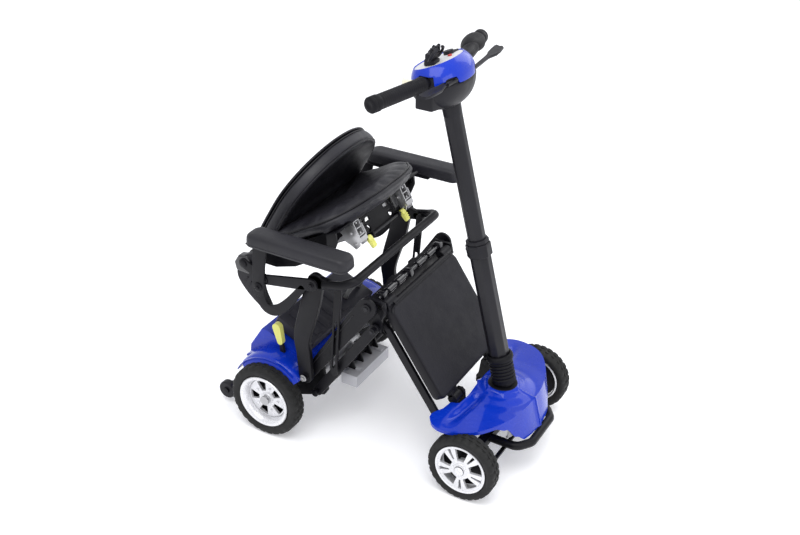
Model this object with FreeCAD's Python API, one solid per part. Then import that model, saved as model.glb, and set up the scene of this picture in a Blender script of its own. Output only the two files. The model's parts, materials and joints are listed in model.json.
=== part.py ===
import FreeCAD, Part

import os
from math import cos, degrees, hypot, pi, radians, sin, atan2

# Folding travel scooter with four wheels, shown half folded: the floor plate stands up between
# the front and the rear unit, and the seat is tipped up with its backrest folded over it.
# Millimetres, +Z up, the rider looks along -Y, +X is the rider's left. Ground at z = 0.

V = FreeCAD.Vector
SIDES = (-1, 1)

# Driving dimensions: wheels
FRONT_AXLE = (-313, 89)
FRONT_R, FRONT_W, FRONT_TRACK, FRONT_RIM_R = 89, 45, 217, 66
REAR_AXLE = (240, 101)
REAR_R, REAR_W, REAR_TRACK, REAR_RIM_R = 101, 48, 247, 73
AXLE_R = 8
TIP_WHEEL = (408, 38)
TIP_R, TIP_W, TIP_X = 25, 20, 199
FIT = 0.05          # radial clearance of a running fit
FREE_PIVOT, FREE_PIN_R = (222, 186), 4
TIP_PIN_R = 5

# Driving dimensions: folding frame, (y, z) of each pivot in the side view
ARM_LENGTH = 297
ARM_ANGLE = 55.5    # the arms' slope as the scooter is shown
REAR_PIVOT = (140, 188)
APEX_GAP = 30
LINK_DROP = (15, 60)
LINK_PIN_R = 6
KNUCKLE_X, KNUCKLE_W = 84, 32
PIN_R = 8
ARM_X, ARM_T, ARM_HALF, ARM_FOOT_HALF = 180, 16, 25, 16
LINK_HALF = 13
FRONT_LINK_X, FRONT_LINK_T, FRONT_LINK_HALF, FRONT_LINK_BOW = 145, 10, 10, 7
PLATE_HALF, PLATE_T = 163, 26
POST_X, POST_T, POST_HALF = 206, 14, 19
POST_PIVOT = (101, 478)
BAR_Y, BAR_Z, BAR_X, BAR_R = 0, 500, 217, 11
POST_PIN_R = 7
STRUT_PIVOT, STRUT_PIN_R = (47, 478), 5
STRUT_X, STRUT_T, STRUT_LENGTH = 198, 5, 262

# Driving dimensions: seat
SEAT_HINGE = (300, 480)
SEAT_TILT = 29
BACK_LEAN = 30
HINGE_R = 9
SEAT_HALF, SEAT_T, SEAT_FRONT, SEAT_REAR = 203, 42, 344, 75
BACK_HALF, BACK_T = 195, 40
BACK_LOW, BACK_TOP = 100, 320
RAIL_X, RAIL_W = 112, 26
FRAME_X, FRAME_T = 230, 8
ARMREST_X, ARMREST_W, ARMREST_T = 244, 60, 33
ARMREST_Z, ARMREST_FRONT, ARMREST_REAR = 577, -34, 243
ARMREST_PIVOT, ARMREST_PIN_R = (254, 428), 5
TAB_PIN_R = 3

# Driving dimensions: tiller
COLUMN_FOOT = (-311, 210)
COLUMN_LEAN = 14.2
LOWER_W, UPPER_W, COLUMN_WALL = 48, 42, 2.5
TILT_S, COLLAR_S, COLUMN_TOP_S = 46, 342, 712
HANDLEBAR_Z, BAR_TUBE_R, GRIP_R, GRIP_END = 980, 11, 17, 250
TILT_PIN_R, SHAFT_R = 6, 15
LEVER_Y, LEVER_PIN_R = -162, 4
CONSOLE = (0, -114, 966)
CONSOLE_HALF = (93, 64, 66)
CONSOLE_SPLIT = 964
PANEL_Z = 1011
PANEL_NORMAL = V(0, 0.35, 0.94).normalize()
PANEL_BACK = V(0, 0.94, -0.35).normalize()
DIAL_PLACE, KEY_PLACE = (34, 2), (-6, 12)
HORN_PLACE = (10, -14)
LEVER_REACH = {-1: 168, 1: 214}

# Driving dimensions: bodywork
SHELL = 3
SKIRT_LOW = 107
COVER_TOP = 186
CONTROLLER_Z = (102, 136)
BATTERY_SLOPE = 24
BATTERY_HALF, BATTERY_L, BATTERY_T = 150, 120, 38
BATTERY_FRONT = (174, 206)
BUMPER_R, BUMPER_Z, BUMPER_X = 11, 94, 92


def step(point, length, angle):
    """The (y, z) point at a length and an angle above -Y from another point."""
    return (point[0] - length * cos(radians(angle)), point[1] + length * sin(radians(angle)))


ARM_TOP = step(REAR_PIVOT, ARM_LENGTH, ARM_ANGLE)
PLATE_TOP = (ARM_TOP[0] - APEX_GAP, ARM_TOP[1])
FRONT_PIVOT = step(PLATE_TOP, ARM_LENGTH, -ARM_ANGLE)
LINK_TOP = (ARM_TOP[0] - LINK_DROP[0], ARM_TOP[1] - LINK_DROP[1])
REAR_LINK = (REAR_PIVOT[0] - LINK_DROP[0], REAR_PIVOT[1] - LINK_DROP[1])
FRONT_LINK = (FRONT_PIVOT[0] + LINK_DROP[0], FRONT_PIVOT[1] - LINK_DROP[1])
KINGPIN_X, KINGPIN_R = 165, 7
STEER_ARM_Y = FRONT_AXLE[0] - 49
COLUMN_DIR = V(0, sin(radians(COLUMN_LEAN)), cos(radians(COLUMN_LEAN)))
SEAT_DIR = (-cos(radians(SEAT_TILT)), sin(radians(SEAT_TILT)))
SEAT_UP = (sin(radians(SEAT_TILT)), cos(radians(SEAT_TILT)))
BACK_DIR = (-sin(radians(BACK_LEAN)), cos(radians(BACK_LEAN)))
BACK_OUT = (cos(radians(BACK_LEAN)), sin(radians(BACK_LEAN)))
BATTERY_DIR = (cos(radians(BATTERY_SLOPE)), sin(radians(BATTERY_SLOPE)))
BATTERY_UP = (-BATTERY_DIR[1], BATTERY_DIR[0])


# ---- helpers -------------------------------------------------------------------------------

def box(x, y, z):
    """A box from three (low, high) pairs."""
    return Part.makeBox(x[1] - x[0], y[1] - y[0], z[1] - z[0], V(x[0], y[0], z[0]))


def both(x, low, high):
    """The (low, high) pair on one side of the scooter, for side -1 or +1."""
    return tuple(sorted((x * low, x * high)))


def rod_x(x, point, radius):
    """A cylinder along X between two x values."""
    return Part.makeCylinder(radius, x[1] - x[0], V(x[0], point[0], point[1]), V(1, 0, 0))


def rod(start, end, radius):
    start, end = V(*start), V(*end)
    return Part.makeCylinder(radius, (end - start).Length, start, end - start)


def prism_x(points, x):
    """A side-view polygon of (y, z) points, extruded along X."""
    wire = Part.makePolygon([V(x[0], y, z) for y, z in points + points[:1]])
    return Part.Face(wire).extrude(V(x[1] - x[0], 0, 0))


def prism_z(points, z):
    """A plan polygon of (x, y) points, extruded along Z."""
    wire = Part.makePolygon([V(x, y, z[0]) for x, y in points + points[:1]])
    return Part.Face(wire).extrude(V(0, 0, z[1] - z[0]))


def bar_x(start, end, half, x, end_half=None):
    """A flat bar with round ends between two side-view points; it may taper to end_half."""
    end_half = end_half or half
    dy, dz = end[0] - start[0], end[1] - start[1]
    length = hypot(dy, dz)
    lean = (half - end_half) / length
    uy, uz = dy / length, dz / length
    ends = []
    for sign in (1, -1):
        ny = -uz * sign * (1 - lean * lean) ** 0.5 + uy * lean
        nz = uy * sign * (1 - lean * lean) ** 0.5 + uz * lean
        ends.append([(p[0] + ny * r, p[1] + nz * r) for p, r in ((start, half), (end, end_half))])
    body = prism_x([ends[0][0], ends[0][1], ends[1][1], ends[1][0]], x)
    return body.fuse([rod_x(x, start, half), rod_x(x, end, end_half)]).removeSplitter()


def chain_x(points, half, x):
    """Flat bars joined end to end through several side-view points."""
    bars = [bar_x(a, b, half, x) for a, b in zip(points, points[1:])]
    return bars[0].fuse(bars[1:]).removeSplitter()


def tilted(s, n, x, origin, along, up):
    """A box given by ranges along two side-view directions from an origin, and along X."""
    corners = [(s[0], n[0]), (s[1], n[0]), (s[1], n[1]), (s[0], n[1])]
    return prism_x([at(origin, along, up, a, b) for a, b in corners], x)


def at(origin, along, up, s, n):
    """A side-view point at s and n along two directions from an origin."""
    return (origin[0] + along[0] * s + up[0] * n, origin[1] + along[1] * s + up[1] * n)


def bent_tube(points, radius, bend):
    """A round bar through several points, its corners rounded with tangent arcs."""
    points = [V(*p) for p in points]
    edges, last = [], points[0]
    for before, corner, after in zip(points, points[1:], points[2:]):
        into, out = (corner - before).normalize(), (after - corner).normalize()
        turn = into.getAngle(out)
        cut = bend * abs(sin(turn / 2) / cos(turn / 2))
        start, end = corner - into * cut, corner + out * cut
        middle = corner + (out - into).normalize() * (bend / cos(turn / 2) - bend)
        edges += [Part.makeLine(last, start), Part.Arc(start, middle, end).toShape()]
        last = end
    edges.append(Part.makeLine(last, points[-1]))
    path = Part.Wire(edges)
    ring = Part.Wire(Part.makeCircle(radius, points[0], points[1] - points[0]))
    return path.makePipeShell([ring], True, True)


def octagon(width, start, length):
    """An eight-sided bar along the column, from a place on the column's axis."""
    radius = width / 2 / cos(pi / 8)
    side = COLUMN_DIR.cross(V(1, 0, 0))
    base = column_point(start)
    turns = [pi / 8 + i * pi / 4 for i in range(9)]
    ring = [base + (V(1, 0, 0) * cos(t) + side * sin(t)) * radius for t in turns]
    return Part.Face(Part.makePolygon(ring)).extrude(COLUMN_DIR * length)


def column_point(s):
    return V(0, *COLUMN_FOOT) + COLUMN_DIR * s


def column_rod(s, radius):
    return Part.makeCylinder(radius, s[1] - s[0], column_point(s[0]), COLUMN_DIR)


def ellipsoid(centre, half):
    shape = Part.makeSphere(1)
    matrix = FreeCAD.Matrix()
    matrix.scale(*half)
    matrix.move(V(*centre))
    return shape.transformGeometry(matrix)


def rounded(shape, radius, keep=lambda edge: True):
    """The shape with the chosen straight edges rounded."""
    edges = [e for e in shape.Edges if keep(e)]
    return shape.makeFillet(radius, edges)


def along_x(edge):
    return abs(edge.tangentAt(edge.FirstParameter).x) > 0.99


def group(shapes):
    return Part.makeCompound(shapes)


def mirrored(shape):
    return shape.mirror(V(0, 0, 0), V(1, 0, 0))


def pair(shape):
    """A shape made on the +X side, with its mirror image."""
    return group([shape, mirrored(shape)])


# ---- wheels --------------------------------------------------------------------------------

def ring_x(profile, axle, side):
    """A ring turned about an axle from (x, radius) points, x measured outwards."""
    points = [V(side * x, axle[0], axle[1] + r) for x, r in profile + profile[:1]]
    face = Part.Face(Part.makePolygon(points))
    return face.revolve(V(0, axle[0], axle[1]), V(1, 0, 0), 360)


def tyre(side, axle, track, radius, width, rim_r):
    inner, outer = track - width / 2, track + width / 2
    crown = radius - 9
    profile = [(inner, rim_r), (inner, crown - 6), (inner + 4, crown + 4), (inner + 12, radius),
               (outer - 12, radius), (outer - 4, crown + 4), (outer, crown - 6), (outer, rim_r)]
    return ring_x(profile, axle, side)


def window(axle, inner_r, outer_r, angle, spread, x):
    """A cutter for one opening between two spokes, as wide as its angle."""
    turns = [radians(angle - spread), radians(angle + spread)]
    points = [(axle[0] + r * cos(t), axle[1] + r * sin(t))
              for r, t in ((inner_r, turns[0]), (outer_r, turns[0]),
                           (outer_r * 1.03, radians(angle)), (outer_r, turns[1]),
                           (inner_r, turns[1]))]
    return prism_x(points, x)


def rim(side, axle, track, width, rim_r, hub_r, dish):
    """A cast wheel: a barrel, a disc set back by its dish, and a hub with the axle's bore."""
    inner, outer = track - width / 2 + 1, track + width / 2 - 1
    disc = outer - dish
    barrel = [(inner, rim_r), (inner, rim_r - 4), (disc - 8, rim_r - 4), (disc - 8, rim_r - 5),
              (disc - 8, hub_r), (track - 15, hub_r), (track - 15, AXLE_R + FIT),
              (disc + 3, AXLE_R + FIT), (disc + 3, hub_r), (disc, hub_r + 4),
              (disc, rim_r - 14), (outer, rim_r - 7), (outer, rim_r)]
    return ring_x(barrel, axle, side)


def front_rim(side):
    shape = rim(side, FRONT_AXLE, FRONT_TRACK, FRONT_W, FRONT_RIM_R, 22, 3)
    cuts = []
    for i in range(5):
        angle = 90 + 72 * i
        cuts.append(window(FRONT_AXLE, 27, 50, angle, 13, both(side, 205, 250)))
        for turn in (28, 44):
            cuts.append(window(FRONT_AXLE, 31, 51, angle + turn, 3.2, both(side, 205, 250)))
    return shape.cut(group(cuts))


def rear_rim(side):
    shape = rim(side, REAR_AXLE, REAR_TRACK, REAR_W, REAR_RIM_R, 24, 14)
    cuts = [window(REAR_AXLE, 31, 57, 54 + 72 * i, 20, both(side, 240, 280)) for i in range(5)]
    return shape.cut(group(cuts))


def rear_axle():
    """The drive axle, keyed to both rear wheels, with a collar inside and a cap outside each."""
    outer = REAR_TRACK + REAR_W / 2 - 10
    axle = rod_x((-outer, outer), REAR_AXLE, AXLE_R)
    heads = [rod_x(both(s, outer, outer + 3), REAR_AXLE, 13) for s in SIDES]
    collars = [rod_x(both(s, 170, REAR_TRACK - 15), REAR_AXLE, 13) for s in SIDES]
    return axle.fuse(heads + collars).removeSplitter()


def wheel_parts():
    rear_size = (REAR_AXLE, REAR_TRACK, REAR_R, REAR_W, REAR_RIM_R)
    parts = {
        "rear_tyres": group([tyre(side, *rear_size) for side in SIDES]),
        "rear_rims": group([rear_rim(side) for side in SIDES]), "rear_axle": rear_axle(),
    }
    for side, name in ((-1, "right"), (1, "left")):
        parts["front_tyre_" + name] = tyre(side, FRONT_AXLE, FRONT_TRACK, FRONT_R, FRONT_W,
                                           FRONT_RIM_R)
        parts["front_rim_" + name] = front_rim(side)
        wheel = rod_x(both(side, TIP_X - TIP_W / 2, TIP_X + TIP_W / 2), TIP_WHEEL, TIP_R)
        wheel = rounded(wheel, 4, lambda e: e.Length > 2 * pi * TIP_R * 0.9)
        hole = rod_x((-230, 230), TIP_WHEEL, TIP_PIN_R + FIT)
        parts["anti_tip_wheel_" + name] = wheel.cut(hole)
    return parts


# ---- rear unit -----------------------------------------------------------------------------

def rear_frame():
    """Two side plates that carry the pivots and the axle, joined by three cross tubes."""
    outline = [(118, 106), (108, 122), (110, 142), (122, 200), (134, 207), (152, 202),
               (200, 180), (222, 196), (236, 184), (262, 132), (330, 92), (330, 68), (262, 72),
               (200, 76)]
    plates = [prism_x(outline, both(s, 158, 166)) for s in SIDES]
    tubes = [rod_x((-160, 160), point, 11) for point in ((172, 160), (300, 88), (140, 110))]
    frame = plates[0].fuse([plates[1]] + tubes).removeSplitter()
    bores = [rod_x((-170, 170), REAR_PIVOT, PIN_R), rod_x((-170, 170), REAR_LINK, LINK_PIN_R),
             rod_x((-170, 170), REAR_AXLE, AXLE_R + FIT),
             rod_x((-180, -150), FREE_PIVOT, FREE_PIN_R)]
    return frame.cut(group(bores))


def pivot_shaft():
    """The cross shaft that the rear arms and the seat posts turn on, with a head each side."""
    shaft = rod_x((-221, 221), REAR_PIVOT, PIN_R)
    return shaft.fuse([rod_x(both(s, POST_X + POST_T + 0.5, 222), REAR_PIVOT, 12)
                       for s in SIDES])


def rear_link_pins():
    """The two headed pins of the rear lower links."""
    return group([rod_x(both(s, 152, 202), REAR_LINK, LINK_PIN_R).fuse(
        rod_x(both(s, 197, 202), REAR_LINK, LINK_PIN_R + 3)) for s in SIDES])


def transaxle():
    """The drive gearbox around the axle, with its motor along the scooter's width."""
    gearbox = rod_x((-110, -62), REAR_AXLE, 46)
    casing = rod_x((-62, 104), REAR_AXLE, 20)
    motor = rod_x((-62, 86), (196, 118), 34)
    block = bar_x(REAR_AXLE, (196, 118), 40, (-100, -66), 30)
    body = gearbox.fuse([casing, motor, block]).removeSplitter()
    return body.cut(rod_x((-200, 200), REAR_AXLE, AXLE_R + FIT))


def transaxle_brackets():
    """Two clamps that hang the gearbox and the motor from the frame's plates."""
    right = rod_x((-158, -110), REAR_AXLE, 18)
    left = rod_x((104, 158), REAR_AXLE, 18)
    hole = rod_x((-200, 200), REAR_AXLE, AXLE_R + FIT)
    return group([right.cut(hole), left.cut(hole)])


def cover_profile(inset):
    """The body cover's side view: a raised battery shelf, a sloped back and an open bottom."""
    return [(164 + inset, 190), (166 + inset, 204 - inset), (282, 255 - inset),
            (300 - inset, 256 - inset), (338 - inset, 196), (346 - inset, 132), (346 - inset, 118),
            (290, 118), (262, 150), (214, 166)]


def rear_cover():
    """The painted cover of the rear unit, with a mudguard above each wheel."""
    lower = 112
    outer = prism_x(cover_profile(0), (-178, 178))
    inner = prism_x(cover_profile(SHELL), (-178 + SHELL, 178 - SHELL))
    floor = box((-175, 175), (167, 343), (lower, 166))
    body = outer.cut(inner).cut(floor)
    guards = []
    for side in SIDES:
        guard = rod_x(both(side, 174, 238), REAR_AXLE, REAR_R + 12)
        guard = guard.cut(rod_x(both(side, 170, 240), REAR_AXLE, REAR_R + 9))
        guard = guard.common(box(both(side, 174, 238), (166, 352), (150, 260)))
        wing = prism_x([(166, 190), (214, 216), (282, 212), (338, 176), (338, 170), (280, 205),
                        (240, 211), (206, 206), (168, 182)], both(side, 174, 200))
        guards += [guard, wing]
    cover = body.fuse(guards).removeSplitter()
    lever_slot = [box(both(s, 181, 199), (206, 300), (180, 300)) for s in SIDES[:1]]
    arm_slots = [box(both(s, 180, 222), (150, 167), (150, 230)) for s in SIDES]
    frame_slots = [box(both(s, 156, 168), (160, 240), (150, 202)) for s in SIDES]
    drive_slot = [box((96, 144), (160, 186), (150, 202))]
    pin_hole = [rod_x((-190, -160), FREE_PIVOT, FREE_PIN_R + 2)]
    shape = cover.cut(group(lever_slot + arm_slots)).cut(group(frame_slots + drive_slot))
    shape = shape.cut(group(pin_hole))
    return max(shape.Solids, key=lambda solid: solid.Volume)


def battery_box(s, n, x):
    return tilted(s, n, x, BATTERY_FRONT, BATTERY_DIR, BATTERY_UP)


def battery():
    shape = battery_box((0, BATTERY_L), (2, BATTERY_T), (-BATTERY_HALF, BATTERY_HALF))
    return rounded(shape, 6, along_x)


def battery_handle():
    """An arch-shaped carrying handle that stands on the battery's top."""
    feet = [at(BATTERY_FRONT, BATTERY_DIR, BATTERY_UP, 40, n) for n in (BATTERY_T, 68)]
    points = [(x, *feet[i]) for x, i in ((62, 0), (62, 1), (132, 1), (132, 0))]
    return bent_tube(points, 6, 18)


def controller():
    """The finned silver housing of the speed controller, in front of the drive."""
    low, high = CONTROLLER_Z
    shape = box((-94, 70), (64, 112), (low, high))
    fins = [box((x, x + 6), (68, 108), (low - 4, low)) for x in range(-88, 62, 14)]
    return shape.fuse(fins).removeSplitter()


def controller_bracket():
    """Straps that hold the controller to the frame's cross tube."""
    top = CONTROLLER_Z[1]
    straps = [box((x - 8, x + 8), (70, 126), (top, top + 4)) for x in (-60, 48)]
    lugs = [box((x - 8, x + 8), (124, 156), (104, top + 4)).cut(
        rod_x((-200, 200), (140, 110), 11)) for x in (-60, 48)]
    return group([a.fuse(b).removeSplitter() for a, b in zip(straps, lugs)])


def fold_actuator():
    """The folding drive: a geared motor beside the gearbox, its sleeve round the cross shaft."""
    sleeve = rod_x((90, 150), REAR_PIVOT, 20)
    motor = bar_x(REAR_PIVOT, (172, 160), 19, (100, 140), 17)
    body = sleeve.fuse(motor).removeSplitter()
    return body.cut(group([rod_x((80, 160), REAR_PIVOT, PIN_R), rod_x((80, 160), (172, 160), 11)]))


def anti_tip_arms():
    """The two arms behind the frame that carry the small anti-tip wheels."""
    arms = []
    for side in SIDES:
        x = both(side, 174, 184)
        arm = bar_x((290, 84), TIP_WHEEL, 14, x, 11)
        arm = arm.fuse(rod_x(both(side, 166, 174), (306, 78), 12)).removeSplitter()
        outer = TIP_X + TIP_W / 2 + 1
        arm = arm.fuse([rod_x(both(side, 184, outer), TIP_WHEEL, TIP_PIN_R),
                        rod_x(both(side, outer, outer + 3), TIP_WHEEL, TIP_PIN_R + 4)])
        arms.append(arm.removeSplitter())
    return group(arms)


def freewheel_lever():
    """The lever that frees the drive, hinged beside the frame, with a flat stem."""
    stem = bar_x(FREE_PIVOT, (230, 240), 8, (-194, -186), 5)
    return stem.cut(rod_x((-210, -170), FREE_PIVOT, FREE_PIN_R + FIT))


def freewheel_grip():
    """The paddle pushed over the top of the freewheel lever's stem."""
    return bar_x((231, 248), (240, 288), 8, (-197, -183), 12).cut(
        bar_x(FREE_PIVOT, (230, 240), 8.2, (-195, -185), 5.2))


def freewheel_pin():
    """The headed pin of the freewheel lever."""
    return rod_x((-197, -166), FREE_PIVOT, FREE_PIN_R).fuse(
        rod_x((-200, -197), FREE_PIVOT, FREE_PIN_R + 4))


def rear_parts():
    return {
        "rear_frame": group([rear_frame(), anti_tip_arms()]),
        "rear_pivots": group([pivot_shaft(), rear_link_pins(), freewheel_pin()]),
        "drive_unit": group([transaxle(), transaxle_brackets(), fold_actuator()]),
        "rear_cover": rear_cover(), "battery": battery(), "battery_handle": battery_handle(),
        "controller": group([controller(), controller_bracket()]),
        "freewheel_lever": freewheel_lever(), "freewheel_grip": freewheel_grip(),
    }


# ---- folding arms and floor plate ------------------------------------------------------------

def rear_arms():
    """The two wide upper arms, broad at the knee and narrower at the rear pivot."""
    x = (ARM_X + ARM_T / 2 + 0.2, ARM_X + ARM_T)
    arm = bar_x(REAR_PIVOT, ARM_TOP, ARM_FOOT_HALF, x, ARM_HALF)
    bores = [rod_x((170, 200), REAR_PIVOT, PIN_R + FIT), rod_x((170, 200), ARM_TOP, PIN_R + FIT)]
    return pair(arm.cut(group(bores)))


def rear_links():
    """The two lower links, inboard of the arms."""
    link = bar_x(REAR_LINK, LINK_TOP, LINK_HALF, (ARM_X, ARM_X + ARM_T / 2))
    bores = [rod_x((170, 200), REAR_LINK, LINK_PIN_R + FIT),
             rod_x((170, 200), LINK_TOP, LINK_PIN_R + FIT)]
    return pair(link.cut(group(bores)))


def front_links():
    """The two links under the floor plate, each bowed a little towards it."""
    x = (FRONT_LINK_X, FRONT_LINK_X + FRONT_LINK_T)
    bow = plate_point(0, FRONT_LINK_BOW)
    rise = (bow[0] - FRONT_PIVOT[0], bow[1] - FRONT_PIVOT[1])
    bends = [at_line(FRONT_LINK, LINK_TOP, share) for share in (0.12, 0.88)]
    bends = [(y + rise[0], z + rise[1]) for y, z in bends]
    link = chain_x([FRONT_LINK, *bends, LINK_TOP], FRONT_LINK_HALF, x)
    bores = [rod_x((140, 170), LINK_TOP, LINK_PIN_R + FIT),
             rod_x((140, 170), FRONT_LINK, LINK_PIN_R + FIT)]
    return pair(link.cut(group(bores)))


def apex_frame():
    """The knee between the arms and the floor plate: end plates round a cross beam."""
    y, z = (ARM_TOP[0] + PLATE_TOP[0]) / 2, ARM_TOP[1]
    outline = [(PLATE_TOP[0] - 6, z + 12), (ARM_TOP[0] + 12, z + 14), (ARM_TOP[0] + 14, z - 12),
               (LINK_TOP[0] + 16, LINK_TOP[1] - 12), (LINK_TOP[0] - 14, LINK_TOP[1] - 12),
               (LINK_TOP[0] - 14, LINK_TOP[1] + 24), (PLATE_TOP[0] - 12, z - 14)]
    plates = [prism_x(outline, both(s, 167, 175)) for s in SIDES]
    beam = box((-170, 170), (y - 1, ARM_TOP[0] + 10), (z - 30, z + 12))
    frame = plates[0].fuse([plates[1], beam]).removeSplitter()
    bores = [rod_x((-200, 200), PLATE_TOP, PIN_R), rod_x((-200, 200), LINK_TOP, LINK_PIN_R),
             rod_x((-200, 200), ARM_TOP, PIN_R)]
    return frame.cut(group(bores))


def apex_pins():
    """The pins of the knee: two round pins for the arms, and one shaft for all four links."""
    arm_pins = [rod_x(both(s, 150, 200), ARM_TOP, PIN_R).fuse(
        rod_x(both(s, ARM_X + ARM_T + 0.5, 200), ARM_TOP, 12)) for s in SIDES]
    plate_pins = [rod_x(both(s, 140, 175), PLATE_TOP, PIN_R) for s in SIDES]
    shaft = rod_x((-200, 200), LINK_TOP, LINK_PIN_R).fuse(
        [rod_x(both(s, ARM_X + ARM_T + 0.5, 200), LINK_TOP, LINK_PIN_R + 3) for s in SIDES])
    return group(arm_pins + plate_pins + [shaft])


def apex_latches():
    """Two spring catches on the knee's beam that hold the floor plate flat."""
    latch = box((40, 66), (ARM_TOP[0] + 10, ARM_TOP[0] + 20), (ARM_TOP[1] - 20, ARM_TOP[1] + 8))
    return pair(latch)


def plate_point(s, n):
    """A side-view point of the floor plate: s runs up from its front pivot, n out of its top."""
    along = (cos(radians(ARM_ANGLE)), sin(radians(ARM_ANGLE)))
    return at(FRONT_PIVOT, along, (-along[1], along[0]), s, n)


def plate_box(s, n, x):
    """A box on the floor plate, between two ranges of its s and n."""
    corners = [(s[0], n[0]), (s[1], n[0]), (s[1], n[1]), (s[0], n[1])]
    return prism_x([plate_point(a, b) for a, b in corners], x)


def floor_plate():
    """The floor plate: a shallow tray with hinge ears at its front and rear ends."""
    half = PLATE_T / 2
    plate = plate_box((22, 285), (-half, half), (-PLATE_HALF, PLATE_HALF))
    corners = [e for e in plate.Edges if abs(e.Length - PLATE_T) < 0.1]
    plate = plate.makeFillet(18, corners)
    hollow = plate_box((34, 262), (-half - 1, half - 4), (-PLATE_HALF + 5, PLATE_HALF - 5))
    plate = plate.cut(hollow)
    ears = []
    for side in SIDES:
        low, high = both(side, KNUCKLE_X, KNUCKLE_X + KNUCKLE_W), both(side, 120, 162)
        ears += [plate_box((0, 60), (-8, 7), low), rod_x(low, FRONT_PIVOT, 14)]
        ears += [plate_box((250, 297), (-8, 7), high), rod_x(high, PLATE_TOP, 12)]
    shape = plate.fuse(ears).removeSplitter()
    bores = [rod_x((-180, 180), pivot, PIN_R + FIT) for pivot in (FRONT_PIVOT, PLATE_TOP)]
    return shape.cut(group(bores))


def fold_parts():
    return {
        "rear_arms": rear_arms(), "rear_links": rear_links(), "front_links": front_links(),
        "apex_frame": group([apex_frame(), apex_latches(), apex_pins()]),
        "floor_plate": floor_plate(),
    }


# ---- front unit ------------------------------------------------------------------------------

def front_frame():
    """A spine with the steering head, the axle beam, and ears for the plate and the links."""
    spine = box((-28, 28), (-352, -232), (112, 140))
    head = Part.makeCylinder(26, 78, column_point(-98), COLUMN_DIR)
    beam = box((-150, 150), (FRONT_AXLE[0] - 12, FRONT_AXLE[0] + 12), (78, 100))
    drop = box((-28, 28), (FRONT_AXLE[0] - 12, FRONT_AXLE[0] + 12), (98, 114))
    ends = []
    for side in SIDES:
        ends.append(Part.makeCylinder(13, 34, V(side * KINGPIN_X, FRONT_AXLE[0], 72)))
        ends.append(box(both(side, 145, 156), (FRONT_AXLE[0] - 8, FRONT_AXLE[0] + 8), (78, 100)))
        ends.append(prism_x([(-246, 112), (-246, 140), (-240, 196), (-232, 203), (-219, 201),
                             (-212, 190), (-206, 140), (-200, 128), (-206, 114), (-226, 108)],
                            both(side, KNUCKLE_X - 12, KNUCKLE_X - 3)))
    cross = box((3 - KNUCKLE_X, KNUCKLE_X - 3), (-252, -236), (112, 136))
    link_arms = [box(both(s, KNUCKLE_X - 10, 143), (-222, -200), (118, 138)) for s in SIDES]
    frame = spine.fuse([head, beam, drop, cross] + ends + link_arms).removeSplitter()
    bores = [Part.makeCylinder(KINGPIN_R, 60, V(s * KINGPIN_X, FRONT_AXLE[0], 60))
             for s in SIDES]
    bores += [rod_x((-170, 170), FRONT_PIVOT, PIN_R), rod_x((-170, 170), FRONT_LINK, LINK_PIN_R),
              Part.makeCylinder(SHAFT_R + FIT, 200, column_point(-140), COLUMN_DIR)]
    return frame.cut(group(bores))


def front_pins():
    """The hinge pins of the floor plate and of the lower links."""
    plate_pins = [rod_x(both(s, KNUCKLE_X - 16, KNUCKLE_X + KNUCKLE_W + 1), FRONT_PIVOT, PIN_R)
                  for s in SIDES]
    link_pins = [rod_x(both(s, 120, 157), FRONT_LINK, LINK_PIN_R) for s in SIDES]
    return group(plate_pins + link_pins)


def cover_plan(inset):
    """The front cover's plan: wide at its rear tips, rounded to a blunt nose."""
    half = [(0, -396), (50, -393), (105, -380), (150, -360), (188, -334), (210, -304),
            (221, -272), (222, -244), (212, -220), (192, -204), (176, -203), (162, -206),
            (159, -221), (122, -221), (118, -244), (78, -250), (0, -250)]
    centre = (0, -330)
    points = []
    for x, y in half:
        reach = hypot(x - centre[0], y - centre[1])
        scale = (reach - inset) / reach
        points.append((centre[0] + (x - centre[0]) * scale, centre[1] + (y - centre[1]) * scale))
    return points + [(-x, y) for x, y in reversed(points[1:-1])]


def nose_skirt():
    """The painted skirt under the nose: it leans forward and is cut away over the wheels."""
    upper = [(-150, -360), (-105, -380), (-50, -393), (50, -393), (105, -380), (150, -360)]
    lower = [(-140, -368), (-100, -392), (-50, -409), (50, -409), (100, -392), (140, -368)]
    rings = []
    for points, z in ((lower, SKIRT_LOW), (upper, COVER_TOP - 2)):
        inner = [(x, y + SHELL + 1) for x, y in reversed(points)]
        corners = [V(x, y, z) for x, y in points + inner]
        rings.append(Part.makePolygon(corners + corners[:1]))
    wall = Part.makeLoft(rings, True, True)
    arch = [(-150, 186), (-122, 170), (-94, 138), (-64, SKIRT_LOW - 1), (64, SKIRT_LOW - 1),
            (94, 138), (122, 170), (150, 186)]
    corners = [V(x, -500, z) for x, z in arch]
    return wall.common(Part.Face(Part.makePolygon(corners + corners[:1])).extrude(V(0, 200, 0)))


def front_cover():
    """The painted front cover: a thin top over the wheels, a hexagonal base and the skirt."""
    top = prism_z(cover_plan(0), (COVER_TOP - 5, COVER_TOP))
    base = Part.Face(Part.makePolygon(
        [V(48 * cos(pi / 6 + i * pi / 3), -308 + 44 * sin(pi / 6 + i * pi / 3), COVER_TOP - 2)
         for i in range(7)])).extrude(V(0, 0, 14))
    cover = top.fuse([nose_skirt(), base]).removeSplitter()
    hole = Part.makeCylinder(30, 80, column_point(-60), COLUMN_DIR)
    shape = cover.cut(hole)
    return max(shape.Solids, key=lambda solid: solid.Volume)


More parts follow.
